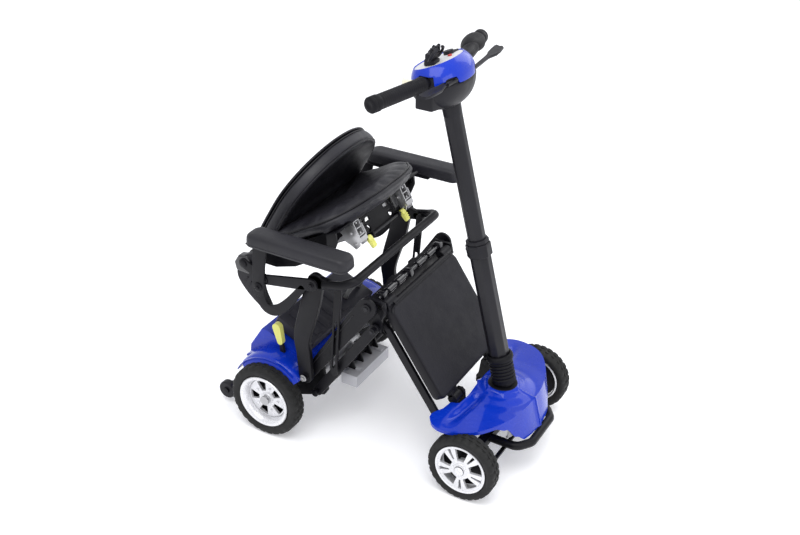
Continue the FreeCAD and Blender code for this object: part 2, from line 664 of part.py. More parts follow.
def under_cover():
    """The pale lower shell inside the nose, bolted to the head and the axle beam."""
    outer = prism_z([(x * 0.72, -330 + (y + 330) * 0.9) for x, y in cover_plan(16)], (96, 176))
    inner = prism_z([(x * 0.72, -330 + (y + 330) * 0.9) for x, y in cover_plan(19)], (99, 180))
    front = box((-76, 76), (-440, -358), (90, 180))
    shell = outer.cut(inner).common(front)
    return max(shell.Solids, key=lambda solid: solid.Volume)


def bumper():
    """The bent tube round the nose, its ends welded to the axle beam."""
    root = FRONT_AXLE[0] - 12
    points = [(BUMPER_X, root, BUMPER_Z), (BUMPER_X, -396, BUMPER_Z), (58, -421, BUMPER_Z),
              (-58, -421, BUMPER_Z), (-BUMPER_X, -396, BUMPER_Z), (-BUMPER_X, root, BUMPER_Z)]
    return bent_tube(points, BUMPER_R, 26)


def knuckle(side):
    """The steered upright: a fork round the axle beam's end, a stub axle and a steering arm."""
    x, y = side * KINGPIN_X, FRONT_AXLE[0]
    ear_t, low, high = 8, 63.5, 106.5
    outer = FRONT_TRACK + FRONT_W / 2
    ears = [Part.makeCylinder(13, ear_t, V(x, y, z)) for z in (low, high)]
    back = box(both(side, 180, 190), (y - 14, y + 14), (low, high + ear_t))
    webs = [box(both(side, KINGPIN_X, 186), (y - 12, y + 12), (z, z + ear_t))
            for z in (low, high)]
    axle = rod_x(both(side, 186, outer + 1), FRONT_AXLE, AXLE_R)
    head = rod_x(both(side, outer + 0.6, outer + 3), FRONT_AXLE, 13)
    arm = box(both(side, KINGPIN_X - 20, KINGPIN_X - 8), (STEER_ARM_Y - 9, y), (low, low + ear_t))
    foot = Part.makeCylinder(9, ear_t, V(side * (KINGPIN_X - 14), STEER_ARM_Y, low))
    shape = ears[0].fuse([ears[1], back, axle, head, arm, foot] + webs).removeSplitter()
    return shape.cut(Part.makeCylinder(KINGPIN_R + FIT, 80, V(x, y, 50)))


def kingpins():
    """The headed pins that the front uprights steer on."""
    pins = []
    for side in SIDES:
        pin = Part.makeCylinder(KINGPIN_R, 57, V(side * KINGPIN_X, FRONT_AXLE[0], 61))
        head = Part.makeCylinder(KINGPIN_R + 4, 4, V(side * KINGPIN_X, FRONT_AXLE[0], 115))
        pins.append(pin.fuse(head).removeSplitter())
    return group(pins)


def tie_rod():
    """The cross rod between the steering arms, resting 2 mm above them."""
    reach = KINGPIN_X - 14
    bar = box((-reach, reach), (STEER_ARM_Y - 5, STEER_ARM_Y + 5), (73.5, 79.5))
    eyes = [Part.makeCylinder(9, 6, V(s * reach, STEER_ARM_Y, 73.5)) for s in SIDES]
    return bar.fuse(eyes).removeSplitter()


def front_parts():
    return {
        "front_frame": group([front_frame(), front_pins(), kingpins()]),
        "front_cover": front_cover(), "under_cover": under_cover(), "bumper": bumper(),
        "knuckle_right": knuckle(-1), "knuckle_left": knuckle(1), "tie_rod": tie_rod(),
    }


# ---- tiller ----------------------------------------------------------------------------------

def steering_shaft():
    """The steering shaft in the head, with the crank that drives the tie rod and the yoke."""
    shaft = column_rod((-120, -4), SHAFT_R)
    crank_top = column_point(-118)
    crank = box((-9, 9), (STEER_ARM_Y - 8, crank_top.y), (82, 90))
    yoke = [tilted_column((-19, -12)), tilted_column((12, 19))]
    floor = column_rod((-12, -4), 22)
    shape = shaft.common(box((-60, 60), (-420, -200), (82, 400))).fuse([crank, floor] + yoke)
    shape = shape.removeSplitter()
    return shape.cut(rod_x((-30, 30), tilt_pivot(), TILT_PIN_R))


def tilted_column(x):
    """One ear of the tiller's folding yoke."""
    base, top = column_point(0), column_point(TILT_S)
    return bar_x((base.y, base.z), (top.y, top.z), 15, x)


def tilt_pivot():
    point = column_point(TILT_S)
    return (point.y, point.z)


def tilt_pin():
    return rod_x((-22, 22), tilt_pivot(), TILT_PIN_R)


def boot():
    """The ribbed bellows round the column's foot."""
    points = [(28, 4)]
    for i in range(6):
        points += [(36 - i, 4 + i * 11), (32 - i, 9.6 + i * 11)]
    points += [(32, 70), (28, 70)]
    side = V(1, 0, 0)
    ring = [column_point(s) + side * r for r, s in points + points[:1]]
    return Part.Face(Part.makePolygon(ring)).revolve(column_point(0), COLUMN_DIR, 360)


def lower_column():
    """The lower tube of the tiller with its hinge tongue."""
    tube = octagon(LOWER_W, 78, COLLAR_S - 78 + 20)
    tube = tube.cut(octagon(LOWER_W - 2 * COLUMN_WALL, 96, 400))
    foot = column_point(84)
    tongue = bar_x(tilt_pivot(), (foot.y, foot.z), 13, (-11.5, 11.5))
    shape = tube.fuse(tongue).removeSplitter()
    return shape.cut(rod_x((-30, 30), tilt_pivot(), TILT_PIN_R + FIT))


def collar():
    """The clamp collar that locks the sliding tube."""
    body = octagon(LOWER_W + 9, COLLAR_S, 44)
    body = body.cut(octagon(LOWER_W + 0.2, COLLAR_S - 2, 22.2))
    return body.cut(octagon(UPPER_W + 1, COLLAR_S - 10, 100))


def upper_column():
    """The sliding upper tube of the tiller."""
    tube = octagon(UPPER_W, 270, COLUMN_TOP_S - 270)
    return tube.cut(octagon(UPPER_W - 2 * COLUMN_WALL, 260, 420))


def handlebar():
    """The swept bar through the console."""
    y, z = CONSOLE[1], HANDLEBAR_Z
    points = [(-GRIP_END, y + 34, z), (-84, y - 2, z), (84, y - 2, z), (GRIP_END, y + 34, z)]
    return bent_tube(points, BAR_TUBE_R, 60)


def grip_line(side, inner, outer):
    """Two points on the axis of one side of the swept bar, at two distances from the middle."""
    y, z = CONSOLE[1], HANDLEBAR_Z
    slope = 36 / (GRIP_END - 84)
    return [(side * x, y - 2 + (x - 84) * slope, z) for x in (inner, outer)]


def grips():
    """The two rubber sleeves on the bar's ends."""
    sleeves = [rod(*grip_line(side, 108, GRIP_END + 3), GRIP_R) for side in SIDES]
    return group([sleeve.cut(handlebar()) for sleeve in sleeves])


def grip_caps():
    """The round end caps of the grips."""
    shapes = []
    for side in SIDES:
        start, end = grip_line(side, GRIP_END + 3.2, GRIP_END + 12)
        shapes.append(rounded(rod(start, end, GRIP_R), 4,
                              lambda e: abs(e.CenterOfMass.x) > GRIP_END + 10))
    return group(shapes)


def palm_rest():
    """The wide palm pad over the left grip."""
    (x, y, z), (x2, y2, _) = grip_line(1, 138, 244)
    middle = ((x + x2) / 2 + 4, (y + y2) / 2 + 8)
    rings = []
    for scale, lift in ((0.82, -10), (1, 2), (0.96, 16), (0.7, 24)):
        corners = [V(middle[0] + 58 * scale * cos(pi * i / 10),
                     middle[1] + 30 * scale * sin(pi * i / 10), z + lift) for i in range(20)]
        rings.append(Part.makePolygon(corners + corners[:1]))
    pad = Part.makeLoft(rings, True, True)
    return pad.cut(rod(*grip_line(1, 100, 270), GRIP_R + 0.05))


def console_shell(low, high):
    """The hollow console between two heights."""
    outer = ellipsoid(CONSOLE, CONSOLE_HALF)
    inner = ellipsoid(CONSOLE, [h - SHELL for h in CONSOLE_HALF])
    slab = box((-200, 200), (-260, 60), (low, high))
    return outer.cut(inner).common(slab)


def panel_cutter(depth):
    """Everything above the console's sloping instrument face, set down by a depth."""
    centre = V(0, CONSOLE[1] + 4, PANEL_Z - depth)
    return Part.makeCylinder(220, 90, centre, PANEL_NORMAL)


def console_bowl():
    """The lower console shell with the neck that clamps the column."""
    shell = console_shell(CONSOLE[2] - CONSOLE_HALF[2], CONSOLE_SPLIT - 0.3)
    neck = octagon(UPPER_W + 8, COLUMN_TOP_S - 16, 44)
    shape = shell.fuse(neck).removeSplitter()
    return shape.cut(octagon(UPPER_W, 500, COLUMN_TOP_S - 500))


def console_cap():
    """The painted upper console shell, open over the instrument panel, with bar openings."""
    shell = console_shell(CONSOLE_SPLIT, 1100).cut(panel_cutter(0))
    bar_holes = [rod_x(both(s, 40, 200), (CONSOLE[1] + 6, HANDLEBAR_Z), GRIP_R + 4)
                 for s in SIDES]
    lever_slots = [box(both(s, 22, 80), (CONSOLE[1] - 80, CONSOLE[1] - 33), (968, 1000))
                   for s in SIDES]
    shape = shell.cut(group(bar_holes + lever_slots))
    return max(shape.Solids, key=lambda solid: solid.Volume)


def console_panel():
    """The pale instrument panel on the console's sloping face."""
    inner = ellipsoid(CONSOLE, [h - SHELL - 0.3 for h in CONSOLE_HALF])
    slab = panel_cutter(6).cut(panel_cutter(2))
    return inner.common(slab).cut(panel_rod(*HORN_PLACE, 5.4, 20, -10))


def panel_point(x, y, lift=0):
    """A point on the instrument panel's face."""
    centre = V(0, CONSOLE[1] + 4, PANEL_Z - 2)
    return centre + V(x, 0, 0) + PANEL_BACK * y + PANEL_NORMAL * lift


def panel_rod(x, y, radius, height, lift=0.2):
    """A cylinder that stands on the instrument panel."""
    return Part.makeCylinder(radius, height, panel_point(x, y, lift), PANEL_NORMAL)


def on_panel(shape, place, lift):
    """A shape made upright at the origin, laid over to the panel's slope and set down on it."""
    shape.rotate(V(0, 0, 0), V(1, 0, 0), -degrees(atan2(PANEL_NORMAL.y, PANEL_NORMAL.z)))
    return shape.translated(panel_point(*place, lift))


def speed_dial():
    """The round speed dial, with a notch that marks its setting."""
    dial = panel_rod(*DIAL_PLACE, 12, 10)
    mark = Part.makeBox(3, 8, 2)
    return dial.cut(mark.translated(panel_point(*DIAL_PLACE, 9.2) - V(1.5, 0, 0)))


def ignition_key():
    """The key: a round stem in the panel and a flat bow."""
    stem = panel_rod(*KEY_PLACE, 4, 12)
    bow = Part.makeBox(4, 16, 16, V(-2, -8, 0))
    return stem.fuse(on_panel(bow, KEY_PLACE, 10)).removeSplitter()


def horn_button():
    """The round horn button, its stem through the panel's hole."""
    return panel_rod(*HORN_PLACE, 5, 6, -1)


def phone_clip():
    """The clip on the console's right side that holds a telephone or papers."""
    base = Part.makeBox(34, 30, 8, V(-17, -15, 0))
    wall = Part.makeBox(34, 7, 30, V(-17, -15, 0))
    cheek = Part.makeBox(8, 30, 22, V(-17, -15, 0))
    shape = base.fuse([wall, cheek]).removeSplitter()
    return on_panel(shape, (-40, 2), 0.6)


def clip_jaw():
    """The sprung jaw of the clip, hinged on the clip's cheek."""
    jaw = Part.makeBox(20, 5, 30, V(-8, -2, 0))
    tip = Part.makeBox(20, 12, 5, V(-8, -9, 30))
    shape = jaw.fuse(tip).removeSplitter()
    return on_panel(shape, (-40, 6), 9.4)


def head_lamp():
    """The small lamp on the console's right side."""
    lamp = ellipsoid((-CONSOLE_HALF[0] + 7, CONSOLE[1] - 2, 958), (9, 12, 7))
    return lamp.cut(ellipsoid(CONSOLE, [h + 0.1 for h in CONSOLE_HALF]))


def drive_lever(side):
    """One of the two drive levers in front of the bar: a thin arm with a flat paddle."""
    y, reach = CONSOLE[1], LEVER_REACH[side]
    plan = [(40, y - 56), (reach - 72, y - 46), (reach - 60, y - 56), (reach - 4, y - 46),
            (reach, y - 38), (reach - 6, y - 26), (reach - 58, y - 31), (reach - 74, y - 39),
            (40, y - 50)]
    arm = prism_z([(side * x, y) for x, y in plan], (979, 986))
    boss = Part.makeCylinder(7, 10, V(side * 40, LEVER_Y, 978))
    shape = arm.fuse(boss).removeSplitter()
    return shape.cut(Part.makeCylinder(LEVER_PIN_R + FIT, 40, V(side * 40, LEVER_Y, 960)))


def lever_pins():
    """The pins of the two drive levers, standing on a small bridge inside the console."""
    bridge = box((-48, 48), (LEVER_Y - 6, LEVER_Y + 6), (972, 977))
    pins = [Part.makeCylinder(LEVER_PIN_R, 18, V(s * 40, LEVER_Y, 972)) for s in SIDES]
    inside = ellipsoid(CONSOLE, [h - SHELL - 0.2 for h in CONSOLE_HALF])
    return bridge.fuse(pins).removeSplitter().common(inside)


def tiller_parts():
    return {
        "steering_shaft": group([steering_shaft(), tilt_pin()]), "boot": boot(),
        "lower_column": lower_column(), "collar": collar(), "upper_column": upper_column(),
        "handlebar": group([handlebar(), lever_pins()]),
        "grips": group([grips(), grip_caps(), palm_rest()]),
        "console_bowl": console_bowl(), "console_cap": console_cap(),
        "console_panel": group([console_panel(), head_lamp()]), "speed_dial": speed_dial(),
        "ignition_key": ignition_key(), "horn_button": horn_button(),
        "phone_clip": group([phone_clip(), clip_jaw()]),
        "drive_lever_right": drive_lever(-1), "drive_lever_left": drive_lever(1),
    }


# ---- seat ------------------------------------------------------------------------------------

def seat_box(s, n, x):
    """A box on the seat: s runs forward from the hinge, n is up from the seat's underside."""
    return tilted(s, n, x, SEAT_HINGE, SEAT_DIR, SEAT_UP)


def post_frame():
    """The two flat curved posts and the front bar, one welded frame."""
    x = (POST_X, POST_X + POST_T)
    posts = []
    for side in SIDES:
        legs = chain_x([REAR_PIVOT, (147, 305), POST_PIVOT], POST_HALF, both(side, *x))
        knee = bar_x(POST_PIVOT, (62, 478), POST_HALF, both(side, *x), 12)
        lug = bar_x(STRUT_PIVOT, (62, 478), 10, both(side, POST_X - 0.1, POST_X + POST_T))
        posts += [legs, knee, lug]
    tube = bent_tube([(-BAR_X, 78, 477), (-BAR_X, BAR_Y, BAR_Z), (BAR_X, BAR_Y, BAR_Z),
                      (BAR_X, 78, 477)], BAR_R, 30)
    frame = tube.fuse(posts).removeSplitter()
    bores = [rod_x((-240, 240), REAR_PIVOT, PIN_R + FIT),
             rod_x((-240, 240), STRUT_PIVOT, STRUT_PIN_R),
             rod_x((-240, 240), POST_PIVOT, POST_PIN_R + FIT)]
    return frame.cut(group(bores))


def strut_pins():
    """The pins that the slotted struts hang from."""
    return group([rod_x(both(s, 194, 216), STRUT_PIVOT, STRUT_PIN_R) for s in SIDES])


def struts():
    """The two slotted struts that guide the folding; their lower ends ride the arms' pins."""
    foot = (STRUT_PIVOT[0] + STRUT_LENGTH * sin(radians(4)),
            STRUT_PIVOT[1] - STRUT_LENGTH * cos(radians(4)))
    x = (STRUT_X, STRUT_X + STRUT_T)
    strut = bar_x(STRUT_PIVOT, foot, 10, x)
    slot = bar_x(at_line(STRUT_PIVOT, foot, 0.42), at_line(STRUT_PIVOT, foot, 0.93), 4.2,
                 (190, 210))
    strut = strut.cut(slot.fuse(rod_x((190, 210), STRUT_PIVOT, STRUT_PIN_R + FIT)))
    return pair(strut)


def at_line(start, end, share):
    """The point at a share of the way between two side-view points."""
    return (start[0] + (end[0] - start[0]) * share, start[1] + (end[1] - start[1]) * share)


def seat_frame():
    """The level side frames: a plate on the post, a diagonal, and a curved armrest carrier."""
    x = (FRAME_X, FRAME_X + FRAME_T)
    sides = []
    for side in SIDES:
        carrier = [(118, 468), (168, 412), (205, 374), (226, 368), (244, 376), (252, 400),
                   ARMREST_PIVOT]
        curve = chain_x(carrier, 12, both(side, *x))
        diagonal = bar_x(POST_PIVOT, (238, 452), 16, both(side, *x), 13)
        link = bar_x((238, 452), SEAT_HINGE, 13, both(side, *x))
        sides.append(curve.fuse([diagonal, link]).removeSplitter().cut(group([
            rod_x((-260, 260), POST_PIVOT, POST_PIN_R), rod_x((-260, 260), SEAT_HINGE, HINGE_R),
            rod_x((-260, 260), ARMREST_PIVOT, ARMREST_PIN_R)])))
    return group(sides)


def frame_pins():
    """The pins of the posts and of the armrests, with round heads."""
    pins = []
    for side in SIDES:
        pins.append(rod_x(both(side, POST_X - 3, FRAME_X + FRAME_T + 2), POST_PIVOT, POST_PIN_R))
        pins.append(rod_x(both(side, FRAME_X, ARMREST_X + 7), ARMREST_PIVOT, ARMREST_PIN_R).fuse(
            rod_x(both(side, ARMREST_X + 6.5, ARMREST_X + 11), ARMREST_PIVOT, 9)))
    return group(pins)


def seat_hinge_tube():
    """The cross tube that joins the side frames and carries the seat and the backrest."""
    return rod_x((-FRAME_X - FRAME_T, FRAME_X + FRAME_T), SEAT_HINGE, HINGE_R)


def hinge_covers():
    """The black end covers round the seat hinge."""
    outline = [(226, 345), (256, 360), (326, 425), (322, 462), (300, 500), (278, 505),
               (262, 498), (256, 400), (236, 372)]
    cover = prism_x(outline, (208, FRAME_X - 0.3))
    return pair(cover.cut(rod_x((200, 240), SEAT_HINGE, HINGE_R)))


def armrest(side):
    """A padded arm's steel bracket: a flat plate up from the pivot, bent under the pad."""
    x = both(side, ARMREST_X - 5, ARMREST_X + 1)
    plate = prism_x([(234, 404), (266, 404), (268, 430), (262, ARMREST_Z), (214, ARMREST_Z),
                     (236, 440)], x)
    foot = box(both(side, ARMREST_X - 5, ARMREST_X + 46), (40, 250),
               (ARMREST_Z - 4, ARMREST_Z - 0.1))
    shape = plate.fuse(foot).removeSplitter()
    return shape.cut(rod_x((-270, 270), ARMREST_PIVOT, ARMREST_PIN_R + FIT))


def armrest_pad(side):
    """The long pad of one armrest, with rounded ends and top edges."""
    pad = box(both(side, ARMREST_X, ARMREST_X + ARMREST_W), (ARMREST_FRONT, ARMREST_REAR),
              (ARMREST_Z, ARMREST_Z + ARMREST_T))
    pad = pad.makeFillet(14, [e for e in pad.Edges if abs(e.Length - ARMREST_T) < 0.1])
    return pad.makeFillet(7, [e for e in pad.Edges if e.CenterOfMass.z > ARMREST_Z + ARMREST_T - 1])


def seat_rails():
    """The two extruded rails under the seat, hollow with a centre web."""
    low, high, front = -45, -6, 279
    rails = []
    for side in SIDES:
        x = both(side, RAIL_X - RAIL_W / 2, RAIL_X + RAIL_W / 2)
        rail = seat_box((70, front), (low, high), x)
        cells = [seat_box((60, front + 10), (low + 3, -28), (x[0] + 3, x[1] - 3)),
                 seat_box((60, front + 10), (-25, high - 3), (x[0] + 3, x[1] - 3))]
        rails.append(rail.cut(group(cells)))
    return group(rails)


def rail_brackets():
    """The pressed brackets under the rails' front ends."""
    brackets = []
    for side in SIDES:
        for x in (RAIL_X - RAIL_W / 2 - 3.2, RAIL_X + RAIL_W / 2 + 0.2):
            brackets.append(prism_x([at(SEAT_HINGE, SEAT_DIR, SEAT_UP, s, n) for s, n in
                                     ((232, -10), (276, -10), (276, -50), (262, -76), (246, -76),
                                      (232, -50))], both(side, x, x + 3)))
    return group(brackets)


def latch_plate():
    """The black cross plate between the rails, with a round hole and a slot over it."""
    reach = RAIL_X - RAIL_W / 2 - 3.3
    plate = seat_box((252, 257), (-72, -8), (-reach, reach))
    centre = at(SEAT_HINGE, SEAT_DIR, SEAT_UP, 240, -50)
    ahead = V(0, *SEAT_DIR)
    holes = [Part.makeCylinder(9, 40, V(x, *centre), ahead) for x in (-52, 52)]
    slots = [seat_box((240, 270), (-32, -22), (x - 18, x + 18)) for x in (-52, 52)]
    return plate.cut(group(holes + slots))


def tab_pivot():
    """The side-view place of the release tabs' shaft."""
    return at(SEAT_HINGE, SEAT_DIR, SEAT_UP, 268, -64)


def release_tabs():
    """Two finger tabs on one cross shaft; a pull on either frees both seat catches."""
    tip = at(SEAT_HINGE, SEAT_DIR, SEAT_UP, 272, -84)
    tabs = [bar_x(tab_pivot(), tip, 5, both(s, 74, 88), 4) for s in SIDES]
    return rod_x((-94, 94), tab_pivot(), TAB_PIN_R).fuse(tabs).removeSplitter()


def tab_bearings():
    """Two small ears on the cross plate that carry the tabs' shaft."""
    hole = rod_x((-140, 140), tab_pivot(), TAB_PIN_R + FIT)
    ears = [seat_box((257, 274), (-70, -58), both(s, 60, 66)).cut(hole) for s in SIDES]
    return group(ears)


def seat_pan():
    """The pressed pan under the cushion: a deep flange and a hinge lug at each side."""
    pan = seat_box((SEAT_REAR, 284), (-5, -0.2), (-190, 190))
    flange = [(0, -16), (50, -44), (110, -56), (236, -52), (262, -30), (272, -5), (272, -0.2),
              (SEAT_REAR, -0.2), (12, 14)]
    outline = [at(SEAT_HINGE, SEAT_DIR, SEAT_UP, s, n) for s, n in flange]
    sides = []
    for side in SIDES:
        x = both(side, 184, 190)
        sides += [prism_x(outline, x), rod_x(x, SEAT_HINGE, 16)]
    shape = pan.fuse(sides).removeSplitter()
    return shape.cut(rod_x((-220, 220), SEAT_HINGE, HINGE_R + FIT))


def seat_plan():
    """The seat's outline seen square on, as (x, s) points: its front is a wide bow."""
    bow = [(0, 344), (60, 340), (112, 325), (153, 302), (184, 272), (SEAT_HALF, 236)]
    half = bow + [(SEAT_HALF, SEAT_REAR - 1)]
    return half + [(-x, s) for x, s in reversed(half[1:])]


def seat_cushion():
    """The seat cushion as a plain solid: bowed at the front, where its top falls away."""
    outline = [(SEAT_REAR, 0), (292, 0), (336, 10), (SEAT_FRONT, 24), (324, 36),
               (286, SEAT_T), (SEAT_REAR + 40, SEAT_T - 2), (SEAT_REAR + 2, SEAT_T - 18)]
    slab = prism_x([at(SEAT_HINGE, SEAT_DIR, SEAT_UP, s, n) for s, n in outline],
                   (-SEAT_HALF, SEAT_HALF))
    corners = [V(x, *at(SEAT_HINGE, SEAT_DIR, SEAT_UP, s, -1)) for x, s in seat_plan()]
    plan = Part.Face(Part.makePolygon(corners + corners[:1]))
    return slab.common(plan.extrude(V(0, *SEAT_UP) * (SEAT_T + 2)))


def back_point(b, n):
    """A side-view point of the backrest: b runs up from the hinge, n towards its rear."""
    return at(SEAT_HINGE, BACK_DIR, BACK_OUT, b, n)


def back_arc(grow):
    """The half-moon outline of the backrest as (x, height) points, grown by a margin."""
    half, low, top = BACK_HALF + grow, BACK_LOW - grow, BACK_TOP + grow
    shoulder = low + 78
    points = [(-half + 34, low), (half - 34, low), (half, low + 30)]
    for i in range(13):
        turn = pi * i / 12
        points.append((half * cos(turn), shoulder + (top - shoulder) * sin(turn)))
    return points + [(-half, low + 30)]


def back_slab(grow, n):
    """A half-moon slab between two depths behind the hinge plane."""
    corners = [V(x, *back_point(b, n[0])) for x, b in back_arc(grow)]
    depth = V(0, *BACK_OUT) * (n[1] - n[0])
    return Part.Face(Part.makePolygon(corners + corners[:1])).extrude(depth)


def backrest_cushion():
    """The backrest's padded front as a plain solid."""
    return back_slab(-3, (-22, BACK_T - 22))


def backrest_shell():
    """The backrest's rear panel with the two legs that reach down to the hinge."""
    panel = back_slab(0, (BACK_T - 21.8, BACK_T - 13))
    legs = []
    for side in SIDES:
        x = both(side, 168, 176)
        legs.append(prism_x([back_point(-10, 12), back_point(150, BACK_T - 14),
                             back_point(150, BACK_T - 21.8), back_point(BACK_LOW, BACK_T - 21.8),
                             back_point(20, -12), back_point(-6, -12)], x))
        legs.append(rod_x(x, SEAT_HINGE, 17))
    shape = panel.fuse(legs).removeSplitter()
    return shape.cut(rod_x((-220, 220), SEAT_HINGE, HINGE_R + FIT))


def seat_parts():
    return {
        "post_frame": group([post_frame(), strut_pins()]), "struts": struts(),
        "seat_frame": group([seat_frame(), seat_hinge_tube(), frame_pins()]),
        "hinge_covers": hinge_covers(),
        "armrest_bracket_right": armrest(-1), "armrest_bracket_left": armrest(1),
        "armrest_pad_right": armrest_pad(-1), "armrest_pad_left": armrest_pad(1),
        "seat_rails": group([seat_rails(), rail_brackets()]),
        "release_tabs": release_tabs(),
        "seat_pan": group([seat_pan(), latch_plate(), tab_bearings()]),
        "seat_cushion": seat_cushion(),
        "backrest_cushion": backrest_cushion(), "backrest_shell": backrest_shell(),
    }


def main():
    os.makedirs("parts", exist_ok=True)
    parts = {}
    for make in (wheel_parts, rear_parts, fold_parts, front_parts, tiller_parts, seat_parts):
        parts.update(make())
    for name, shape in parts.items():
        shape.exportStep(os.path.join("parts", name + ".step"))


if __name__ == "__main__":
    main()
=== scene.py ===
import json
from contextlib import contextmanager
from math import atan2, cos, hypot, pi, radians, sin

import bmesh
import bpy
from mathutils import Matrix, Vector
from mathutils.bvhtree import BVHTree
from mathutils.kdtree import KDTree


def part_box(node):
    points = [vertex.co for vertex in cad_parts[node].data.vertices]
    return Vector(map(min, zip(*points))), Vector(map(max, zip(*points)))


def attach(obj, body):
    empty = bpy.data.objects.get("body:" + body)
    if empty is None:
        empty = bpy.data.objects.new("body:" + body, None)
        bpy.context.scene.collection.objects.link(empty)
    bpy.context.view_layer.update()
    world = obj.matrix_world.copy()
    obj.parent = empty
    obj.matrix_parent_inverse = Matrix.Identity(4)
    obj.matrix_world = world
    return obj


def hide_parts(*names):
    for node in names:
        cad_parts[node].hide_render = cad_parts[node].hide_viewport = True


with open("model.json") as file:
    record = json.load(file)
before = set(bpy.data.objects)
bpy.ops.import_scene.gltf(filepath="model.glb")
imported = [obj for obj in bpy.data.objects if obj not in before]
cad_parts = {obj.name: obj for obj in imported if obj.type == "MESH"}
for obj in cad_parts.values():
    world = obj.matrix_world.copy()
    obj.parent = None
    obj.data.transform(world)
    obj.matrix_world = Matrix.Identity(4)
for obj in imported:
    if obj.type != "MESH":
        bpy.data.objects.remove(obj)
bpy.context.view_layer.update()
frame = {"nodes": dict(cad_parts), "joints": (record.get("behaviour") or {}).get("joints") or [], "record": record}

NODES = frame["nodes"]
JOINTS = {joint["name"]: joint for joint in frame["joints"]}
SIDES = (-1, 1)
HANDS = ((1, "left"), (-1, "right"))
CORNERS = ((-1, -1), (1, -1), (1, 1), (-1, 1))
MERGE = 1e-5


# ---- places taken from the frame --------------------------------------------------------------

def pivot(joint):
    """The place of a joint."""
    return Vector(JOINTS[joint]["pos_m"])


REAR_PIVOT = pivot("fold")
ARM_TOP = pivot("apex_level")
PLATE_TOP = pivot("plate_fold")
FRONT_PIVOT = pivot("front_unit_level")
LINK_TOP = pivot("front_link_swing")
REAR_LINK = pivot("rear_link_swing")
SEAT_HINGE = pivot("seat_tilt")
POST_TOP = pivot("seat_base_level")
COLUMN_FOOT = pivot("steer")
COLUMN_DIR = Vector(JOINTS["steer"]["axis"]).normalized()
REAR_AXLE = pivot("rear_wheel_spin")
FRONT_AXLE = pivot("front_wheel_spin_left")


def column_reach(z):
    """How far along the column's axis from its foot a height is."""
    return (z - COLUMN_FOOT.z) / COLUMN_DIR.z


# ---- materials --------------------------------------------------------------------------------

def new_material(name):
    """A material with its node tree and its shader."""
    material = bpy.data.materials.new(name)
    material.use_nodes = True
    tree = material.node_tree
    return material, tree, tree.nodes["Principled BSDF"]


def add(tree, kind, **values):
    """A new node whose properties or inputs have the given values."""
    node = tree.nodes.new(kind)
    for key, value in values.items():
        if hasattr(node, key):
            setattr(node, key, value)
        else:
            node.inputs[key].default_value = value
    return node


def noise(tree, scale, detail=4, rough=0.55):
    """Cloudy noise in the object's own space."""
    place = add(tree, "ShaderNodeTexCoord")
    texture = add(tree, "ShaderNodeTexNoise")
    texture.inputs["Scale"].default_value = scale
    texture.inputs["Detail"].default_value = detail
    texture.inputs["Roughness"].default_value = rough
    tree.links.new(place.outputs["Object"], texture.inputs["Vector"])
    return texture.outputs["Fac"]


def cells(tree, scale, feature="F1"):
    """A fine cell pattern in the object's own space, for grain."""
    place = add(tree, "ShaderNodeTexCoord")
    texture = add(tree, "ShaderNodeTexVoronoi")
    texture.feature = feature
    texture.inputs["Scale"].default_value = scale
    tree.links.new(place.outputs["Object"], texture.inputs["Vector"])
    return texture.outputs["Distance"]


def ramp(tree, source, low, high, start=0.3, end=0.7):
    """A texture value mapped to a range."""
    node = add(tree, "ShaderNodeMapRange")
    node.inputs["From Min"].default_value = start
    node.inputs["From Max"].default_value = end
    node.inputs["To Min"].default_value = low
    node.inputs["To Max"].default_value = high
    tree.links.new(source, node.inputs["Value"])
    return node.outputs["Result"]


def tint(tree, source, dark, light, start=0.3, end=0.7):
    """A texture value mapped to a colour between two."""
    node = add(tree, "ShaderNodeValToRGB")
    node.color_ramp.elements[0].position = start
    node.color_ramp.elements[1].position = end
    node.color_ramp.elements[0].color = (*dark, 1)
    node.color_ramp.elements[1].color = (*light, 1)
    tree.links.new(source, node.inputs["Fac"])
    return node.outputs["Color"]


def bump(tree, source, strength, distance):
    """A normal that the texture raises."""
    node = add(tree, "ShaderNodeBump")
    node.inputs["Strength"].default_value = strength
    node.inputs["Distance"].default_value = distance
    tree.links.new(source, node.inputs["Height"])
    return node.outputs["Normal"]


def surface(name, dark, light, rough, grain, grain_depth, metallic=0.0, patch=9.0, cell=False,
            **extra):
    """A finish with slow colour and gloss variation and a fine surface grain."""
    material, tree, shader = new_material(name)
    slow = noise(tree, patch, 5)
    tree.links.new(tint(tree, slow, dark, light), shader.inputs["Base Color"])
    tree.links.new(ramp(tree, noise(tree, patch * 4, 3), *rough), shader.inputs["Roughness"])
    fine = cells(tree, grain) if cell else noise(tree, grain, 2)
    tree.links.new(bump(tree, fine, 0.35, grain_depth), shader.inputs["Normal"])
    shader.inputs["Metallic"].default_value = metallic
    for key, value in extra.items():
        shader.inputs[key.replace("_", " ")].default_value = value
    return material


